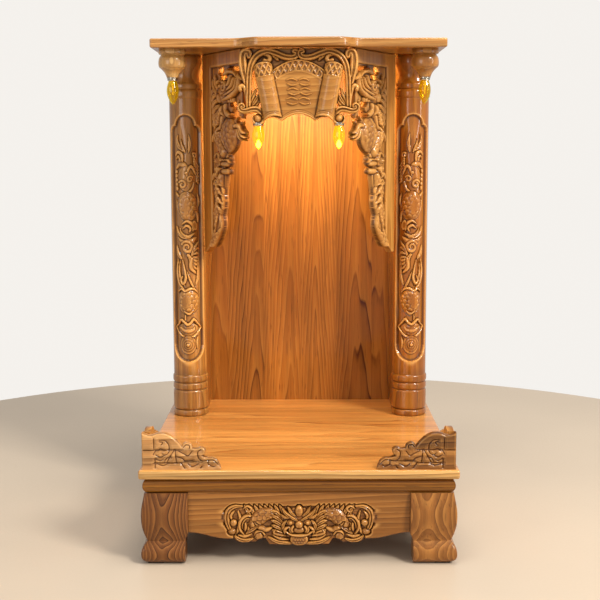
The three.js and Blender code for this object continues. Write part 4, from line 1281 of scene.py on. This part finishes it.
MASK_SIDE = """
# mane spikes that lean outwards under the top edge
leaf 2.6 3.6 -2.6 .8 .08 : 20 70, 24.5 80, 30 90.5 : 8 x 7.6 0
# outer curls and pearl
leaf 4.6 5 -3 .3 .3 : 86 88, 98 87, 107 80, 109 66, 103 47
round 2.6 5 -2.4 .4 .3 : 92 80, 89 68, 92 52, 96 44
round 2.4 4.4 -2.6 .4 .4 : 98 80, 103 74, 102 68
dome-round 5.2 5.2 5.6 -2.4 : 99 62
round 2 3.8 -2.8 .4 .4 : 84 84, 78 88, 72 84, 76 79, 80 82
dome-soft 6.5 5 4 -2.6 : 101 48
# paw in a C-scroll, with three claws
dome-dish 12 12 2.4 -3 : 77 60
round 2.4 5.4 -2 .3 .3 : 66 70, 78 73.5, 88 66, 90 54, 84 44
round 1.4 4 -2.2 .3 .3 : 70 66, 79 69, 85 62, 86 53
round 2.1 5.2 -2 .7 .3 : 72 61, 71 55, 73 50 : 3 x 4.4 0, 4.8 0, 4.4 0
# scaled shoulder and foreleg
soft 10.5 3 -2.2 .8 .6 scale=9 : 44 76, 54 74, 63 67, 70 59
soft 4.4 4.8 -2.4 .3 .4 : 68 64, 60 55, 50 51, 42 54
leaf 3 3.6 -2.6 .3 .3 : 60 58, 70 52, 80 45
# cheek tufts fan out from the face
leaf 3.1 5.2 -1.8 .5 .12 : 24 68, 34 78.5, 44 81 : 6 x .5 -5.4, 0 -7.4, -.8 -7.4
# waves and leaves along the lower edge
leaf 3.2 4.4 -2.4 .3 .2 : 6 30, 20 30.5, 34 33, 47 40
round 2.4 4.4 -2.2 .3 .2 : 16 36, 28 37.5, 40 43
round 2.4 4.6 -2 .4 .3 : 20 42, 30 44, 38 47, 35 52
round 2.4 4.2 -2.6 .4 .4 : 52 43, 57 49, 65 46, 66 38
dome-round 6 6.4 3.8 -2.8 : 61 41
leaf 3.6 4.4 -2.8 .3 .3 : 70 37, 80 34, 90 36, 97 41
round 2.4 4.2 -2.6 .3 .3 : 72 44, 82 41, 92 43
"""
MASK_FACE = """
# the face itself: dome, brows, eyes, nose, muzzle, tusks, lip and lower jaw
dome-soft 25 24 4.6 -2 : 0 62
dome-flat 13.5 9.4 3.4 .4 : 0 36.5
dome-soft 1.7 1.7 1 0 on=1 : -8 40.5 : 5 x 4 0
dome-soft 1.7 1.7 1 0 on=1 : -6 36.5 : 4 x 4 0
dome-soft 1.7 1.7 1 0 on=1 : -8 32.5 : 5 x 4 0
"""
MASK_EYE = """
leaf 2.6 5.6 1.2 .5 .2 : 3 67, 10 71, 20 78, 25 85
leaf 2.2 4.6 .6 .5 .2 : 6 74, 12 79, 17 87
leaf 2 4.6 1.2 .5 .2 : 14 72, 21 72, 27 76
leaf 2.4 4.6 .6 .4 .3 : 19 66, 24 60, 24 52
round 2.4 4.4 .6 .4 .3 : 15 57, 21 53, 22 46
dome-dish 5.2 4.4 4.4 1 : 12.8 63.5
dome-round 3.4 3.4 5.4 1.8 : 12.8 63.5
round 2.4 5 1.4 .5 .4 : 5 52, 12 50, 14 56
round 2.2 6.4 1.8 .8 .15 : 9 58, 11 54, 9.6 48.5
"""
MASK_NOSE = """
dome-round 5.6 8.6 5 1 : 0 81
round 2.2 5.6 1.4 .3 .3 : -22 51, -12 45, 0 43.5, 12 45, 22 51
dome-round 9.5 5 5.2 1.8 : 0 52.6
dome-round 5.6 5.8 6.6 2.6 : 0 61
dome-round 2.1 1.8 1.2 0 on=1 : -3.4 58.4 : 2 x 6.8 0
"""


def lion_mask(c):
    for s, _ in SIDES:
        draw(c, MASK_SIDE, s)
    draw(c, MASK_FACE)
    for s, _ in SIDES:
        draw(c, MASK_EYE, s)
    draw(c, MASK_NOSE)


print("rows of forms on half the mask:", len(form_rows(MASK_SIDE)) + len(form_rows(MASK_EYE)))

# %% Apron boards
def apron_section(u, edge, relief=None, rows=30):
    """Rings along u: up the carved front from the lower edge, then down the flat back."""
    low = edge(u)[:, None]
    v = low + (LEG_TOP - low) * np.linspace(0, 1, rows)
    U = np.repeat(u[:, None], rows, 1)
    h, mark = relief(U, v) if relief else (np.zeros(U.shape), np.zeros(U.shape))
    front = np.stack([U, -(APRON_FACE + h - eased(v - low, 1.6, 2.0)), v], -1)
    back = np.stack([U, np.full(U.shape, -(APRON_FACE - APRON_THICKNESS)), v], -1)[:, ::-6]
    return np.concatenate([front, back], 1), np.concatenate([mark, np.zeros(back.shape[:2])], 1)


def mask_relief(U, v):
    c = Carving(U, v, -3.6, 1.12, 3.0)
    lion_mask(c)
    inside = np.maximum(np.minimum(100 - abs(U), 88.5 - v), c.inside + 1.7)
    h = np.where(inside > -0.6, c.h * smooth(inside, -0.6, 0.8), 0)
    return h, hollows(h, 12, 1.2)


def plain_edge(u):
    return 46 - 8 * np.cos(math.pi * u / LEG_INNER) - 3 * smooth(abs(u), 0, 24)


MASK_HALF, apron_half = 113, LEG_INNER - GAP
fine_u = np.concatenate([np.linspace(-apron_half, -MASK_HALF, 20)[:-1],
                         np.arange(-MASK_HALF, MASK_HALF + 0.01, 0.72),
                         np.linspace(MASK_HALF, apron_half, 20)[1:]])
rings, mark = apron_section(fine_u, masked_edge, mask_relief, 118)
skin("mask_apron", *loft(rings), apron_wood, "carved_wood", ["apron_front"], mark.ravel(), 50)
rings, plain_mark = apron_section(np.linspace(-apron_half, apron_half, 90), plain_edge)
x, y, z = np.moveaxis(rings, -1, 0)
for turns, side in ((1, "right"), (2, "back"), (3, "left")):
    c, s = QUARTERS[turns]
    skin(f"plain_apron_{side}", *loft(np.stack([c * x - s * y, s * x + c * y, z], -1)),
         strip_wood if turns == 2 else side_wood, "frame_wood", [f"apron_{side}"], plain_mark.ravel())
print("mask apron points:", mark.size)

# %% [markdown]
# ## Corner rails
# Two low boards meet at each front corner of the deck. Their tops step down in a dip, a crest, two
# curls and an ogee. On the face, cloud forms are drawn with V-cut lines, each in a wide shallow
# trough that makes the forms beside it swell.

# %% Rails with V-cut clouds
RAIL_THICKNESS, RAIL_OUTER, CUT_FLOOR = 11.0, 234.5, -3.4
# Each row is a bend: the point the outline leans towards, and the point it ends at.
RAIL_BENDS = ("9 51, 16 52", "25 57.5, 36 55", "49 51, 60 35", "63 42, 68.5 41", "75 39, 75.5 32.5",
              "80 31.5, 85 32.5", "91 36, 95 30.5", "96 25, 91 21", "97 17, 105 18", "115 16, 118 0")
RAIL_CUTS = """
18 47, 18 31
19.5 15.5, 19.5 2
0 29.5, 17.5 29.5
20.5 29.5, 60 30
27 45, 34.5 44.5, 40 38.5, 41 31, 39 24.5, 33.5 22, 30 25
27 42.5, 31 41, 29 37.5
22 29.5, 18.5 25.5, 17 22.5
24 29, 28 31.5, 33 29.5
48 29, 42 20, 37.5 11
43 19, 36.5 16.5, 33 11
50 29.5, 50.5 20, 51.5 11
55 28, 62 24.5, 69 21.5, 75 28
53 19.5, 60.5 17, 65 13, 76 14
62 12.2, 88 12.8
88 30.5, 83.5 26.5, 84.5 18, 90 13, 98.5 14, 107 14, 114.5 6.5
91.5 21, 98 19
18.5 9.8, 58 10
58.5 9.6, 65 0.5
86.5 1, 90 5.5
22 9, 31 6, 38 8.5
69 8.5, 75 4.5, 84.5 8.5
98.5 12.8, 99.5 7.5, 106 4.5, 109.5 5.5
62 34, 66 37.5, 71 36.5, 71 32
21 22, 27 19, 33 21
21 16, 27 13.5, 31 15
"""


def rail_outline():
    """Bends from a to c that lean towards b: (1-t)^2 a + 2t(1-t) b + t^2 c."""
    spots = [[0, 0], [0, 56.5]]
    t = np.linspace(0, 1, 9)[1:, None]
    for b, c in map(pairs, RAIL_BENDS):
        spots += ((1 - t) ** 2 * np.array(spots[-1]) + 2 * t * (1 - t) * b + t ** 2 * c).tolist()
    return spots


def rail(sx, along_front):
    """One rail: u runs from the corner, v up from the deck, h out of the face."""
    shift = 0.0 if along_front else RAIL_THICKNESS + GAP
    u, v = grid((-1.4, -1.4), (119.4, 59), 0.7 if along_front else 0.95)
    c = Carving(u, v)
    for path in map(pairs, RAIL_CUTS.strip().splitlines()):
        c.stroke(path, "soft", 4.6, -0.9, 0, 0.8, 0.8, on=True)
        c.stroke(path, "roof", 1.7, -1.8, 0, 0.7, 0.5, on=True)
    inside = polygon_inside(u, v, rail_outline())
    h = np.maximum(c.h, CUT_FLOOR) * smooth(np.minimum(u, v), 0, 2.5)
    h -= eased(inside, 1.8, 2.4) * (v > 3)

    def place(a, b, k):
        run, out = RAIL_OUTER - a - shift, RAIL_OUTER + k
        x, y = (run, out) if along_front else (out, run)
        return np.stack([sx * x, -y, DECK_TOP + b], -1)
    points, faces, mark = plate(u, v, inside, h, -RAIL_THICKNESS, place, 10, 1.0)
    points[:, 2] = np.maximum(points[:, 2], DECK_TOP)
    return points, faces, mark


for sx, side in SIDES:
    for run, finish in (("front", rail_woods[side]), ("side", rail_wood_side)):
        points, faces, mark = rail(sx, run == "front")
        skin(f"cloud_rail_{run}_{side}", points, faces, finish, "carved_wood",
             [f"rail_{run}_{side}"], mark, 50)
print("rail points:", len(points))

# %% [markdown]
# ## Pendants and lamps
# Under each end of the roof hangs a turned pendant, and four flame-shaped lamps hang in bright
# collars: two under the pendants, two under the crest. A lamp is a thin shell of clear yellow glass.
# Inside it a glass stem carries a filament, and in the two crest lamps the filament glows. The unlit
# glass and every stem have a faint painted glow.

# %% Turned pendants
PENDANT_X, PENDANT_Y, PENDANT_FOOT = 207.5, 10.0, 739.2


def outline(rows, per=8):
    """A turned outline as (radius, height) points. Each row is a smooth bend or a straight line."""
    parts = [pairs(row) for row in rows]
    return np.concatenate([curve(part, per) if len(part) > 2 else part for part in parts])


pendant = outline((f".6 {PENDANT_FOOT}, 9.4 {PENDANT_FOOT}",
                   f"9.4 {PENDANT_FOOT}, 10.4 742, 12.6 746.5, 16.4 751, 19.8 754.2",
                   "19.8 754.2, 21.2 755.2", "21.2 755.2, 22.5 758.5, 22.7 764, 21.6 770, 18.9 774.4",
                   "18.9 774.4, 18.5 775.6",
                   f"18.5 775.6, 21.6 776.6, 22.4 779, 22.2 782, 21.6 {ROOF_UNDER}",
                   f"21.6 {ROOF_UNDER}, .6 {ROOF_UNDER}"))
for sx, side in SIDES:
    skin(f"turned_pendant_{side}", *loft(turned(pendant, sx * PENDANT_X, PENDANT_Y, 64)),
         pendant_woods[side], "frame_wood", [f"pendant_{side}"], crease=50)
print("pendant rings:", len(pendant))

# %% Collars, glass and filaments
# Radii and heights: the glass and its filling from the neck down, the collar from its lower face.
BULB_LENGTH, GLASS_WALL, COLLAR, FLUTES, GLASS_SPOKES = 38.5, 0.55, 5, 12, 72
flame = outline([".08 -38.5, 2 -36.6, 5 -32.6, 7.6 -27.2, 9.4 -21, 9.9 -15.5, 9.3 -9.5, 8 -4.6, 6.5 0"],
                4)
stem = outline([".5 -22, .9 -21.4, 1.1 -14, 1.7 -8, 2.4 -.6"], 6)
core = outline([".3 -36, 2.2 -34.2, 4 -30.6, 3.8 -27.6, 2.2 -24, .4 -22.2"], 6)
collar = outline((".6 0, 7.7 0",
                  "7.7 0, 8.2 .5, 8.6 1.4, 8.1 1.9, 8.9 2.5, 8.4 3.1, 9.2 3.8, 9.2 4.7",
                  "9.2 4.7, 8.9 5", "8.9 5, .6 5"), 4)


def glass_shell(x, y, top):
    """The outer flame from its tip up to the neck, then the same curve inside the wall, back down.
    Faint flutes run down the outside: r (1 + 0.012 cos 12 a)."""
    inner = flame[::-1] - [GLASS_WALL, 0]
    inner = np.maximum(inner, [0.05, -BULB_LENGTH + GLASS_WALL])
    rings = turned(np.concatenate([flame, inner]) + [0, top], x, y, GLASS_SPOKES)
    flute = 1 + 0.012 * np.cos(FLUTES * np.linspace(0, 2 * math.pi, GLASS_SPOKES, endpoint=False))
    for axis, centre in enumerate((x, y)):
        outer = rings[:len(flame), :, axis]
        rings[:len(flame), :, axis] = centre + (outer - centre) * flute
    return loft(rings, shell=True)


def lamp(name, x, y, top, lit):
    """A collar up to top, a shell of glass under it, and what is sealed in the glass."""
    neck = top - COLLAR - GAP
    skin(f"lamp_collar_{name}", *loft(turned(collar + [0, top - COLLAR], x, y, 64)), silver, "silver",
         [f"socket_{name}"], crease=50)
    skin(f"lamp_glass_{name}", *glass_shell(x, y, neck), lit_glass if lit else clear_glass,
         "clear_yellow", [f"bulb_{name}"], crease=60)
    filling = [("stem", stem, glowing_stem)] + ([("flame", core, lit_core)] if lit else [])
    for part, shape, finish in filling:
        skin(f"lamp_{part}_{name}", *loft(turned(shape + [0, neck], x, y, 32)), finish, "clear_yellow",
             crease=60)


CREST_BULB_X, CREST_BULB_Y, CREST_BULB_TOP = 65.5, -24.0, 664.6
for sx, side in SIDES:
    lamp(f"roof_{side}", sx * PENDANT_X, PENDANT_Y, PENDANT_FOOT - GAP, False)
    lamp(f"crest_{side}", sx * CREST_BULB_X, CREST_BULB_Y, CREST_BULB_TOP, True)
print("lamps lit:", 2, "of", 4)

# %% Their light on the niche
glows = [area_lamp("niche_glow", (0, 0.03, 0.715), (0, 0.23, 0.690), (0.20, 0.07), 2.2,
                   (1.0, 0.93, 0.68))]
for sx, side in SIDES:
    bulb = bpy.data.lights.new(f"glow_{side}", "POINT")
    bulb.energy, bulb.color, bulb.shadow_soft_size = 0.40, (1.0, 0.80, 0.50), 0.02
    glows.append(bpy.data.objects.new(f"glow_{side}", bulb))
    glows[-1].location = (sx * 0.056, 0.045, 0.645)
    scene.collection.objects.link(glows[-1])
for glow in glows:
    glow.visible_glossy = glow.visible_transmission = False
print("glows:", [glow.name for glow in glows])
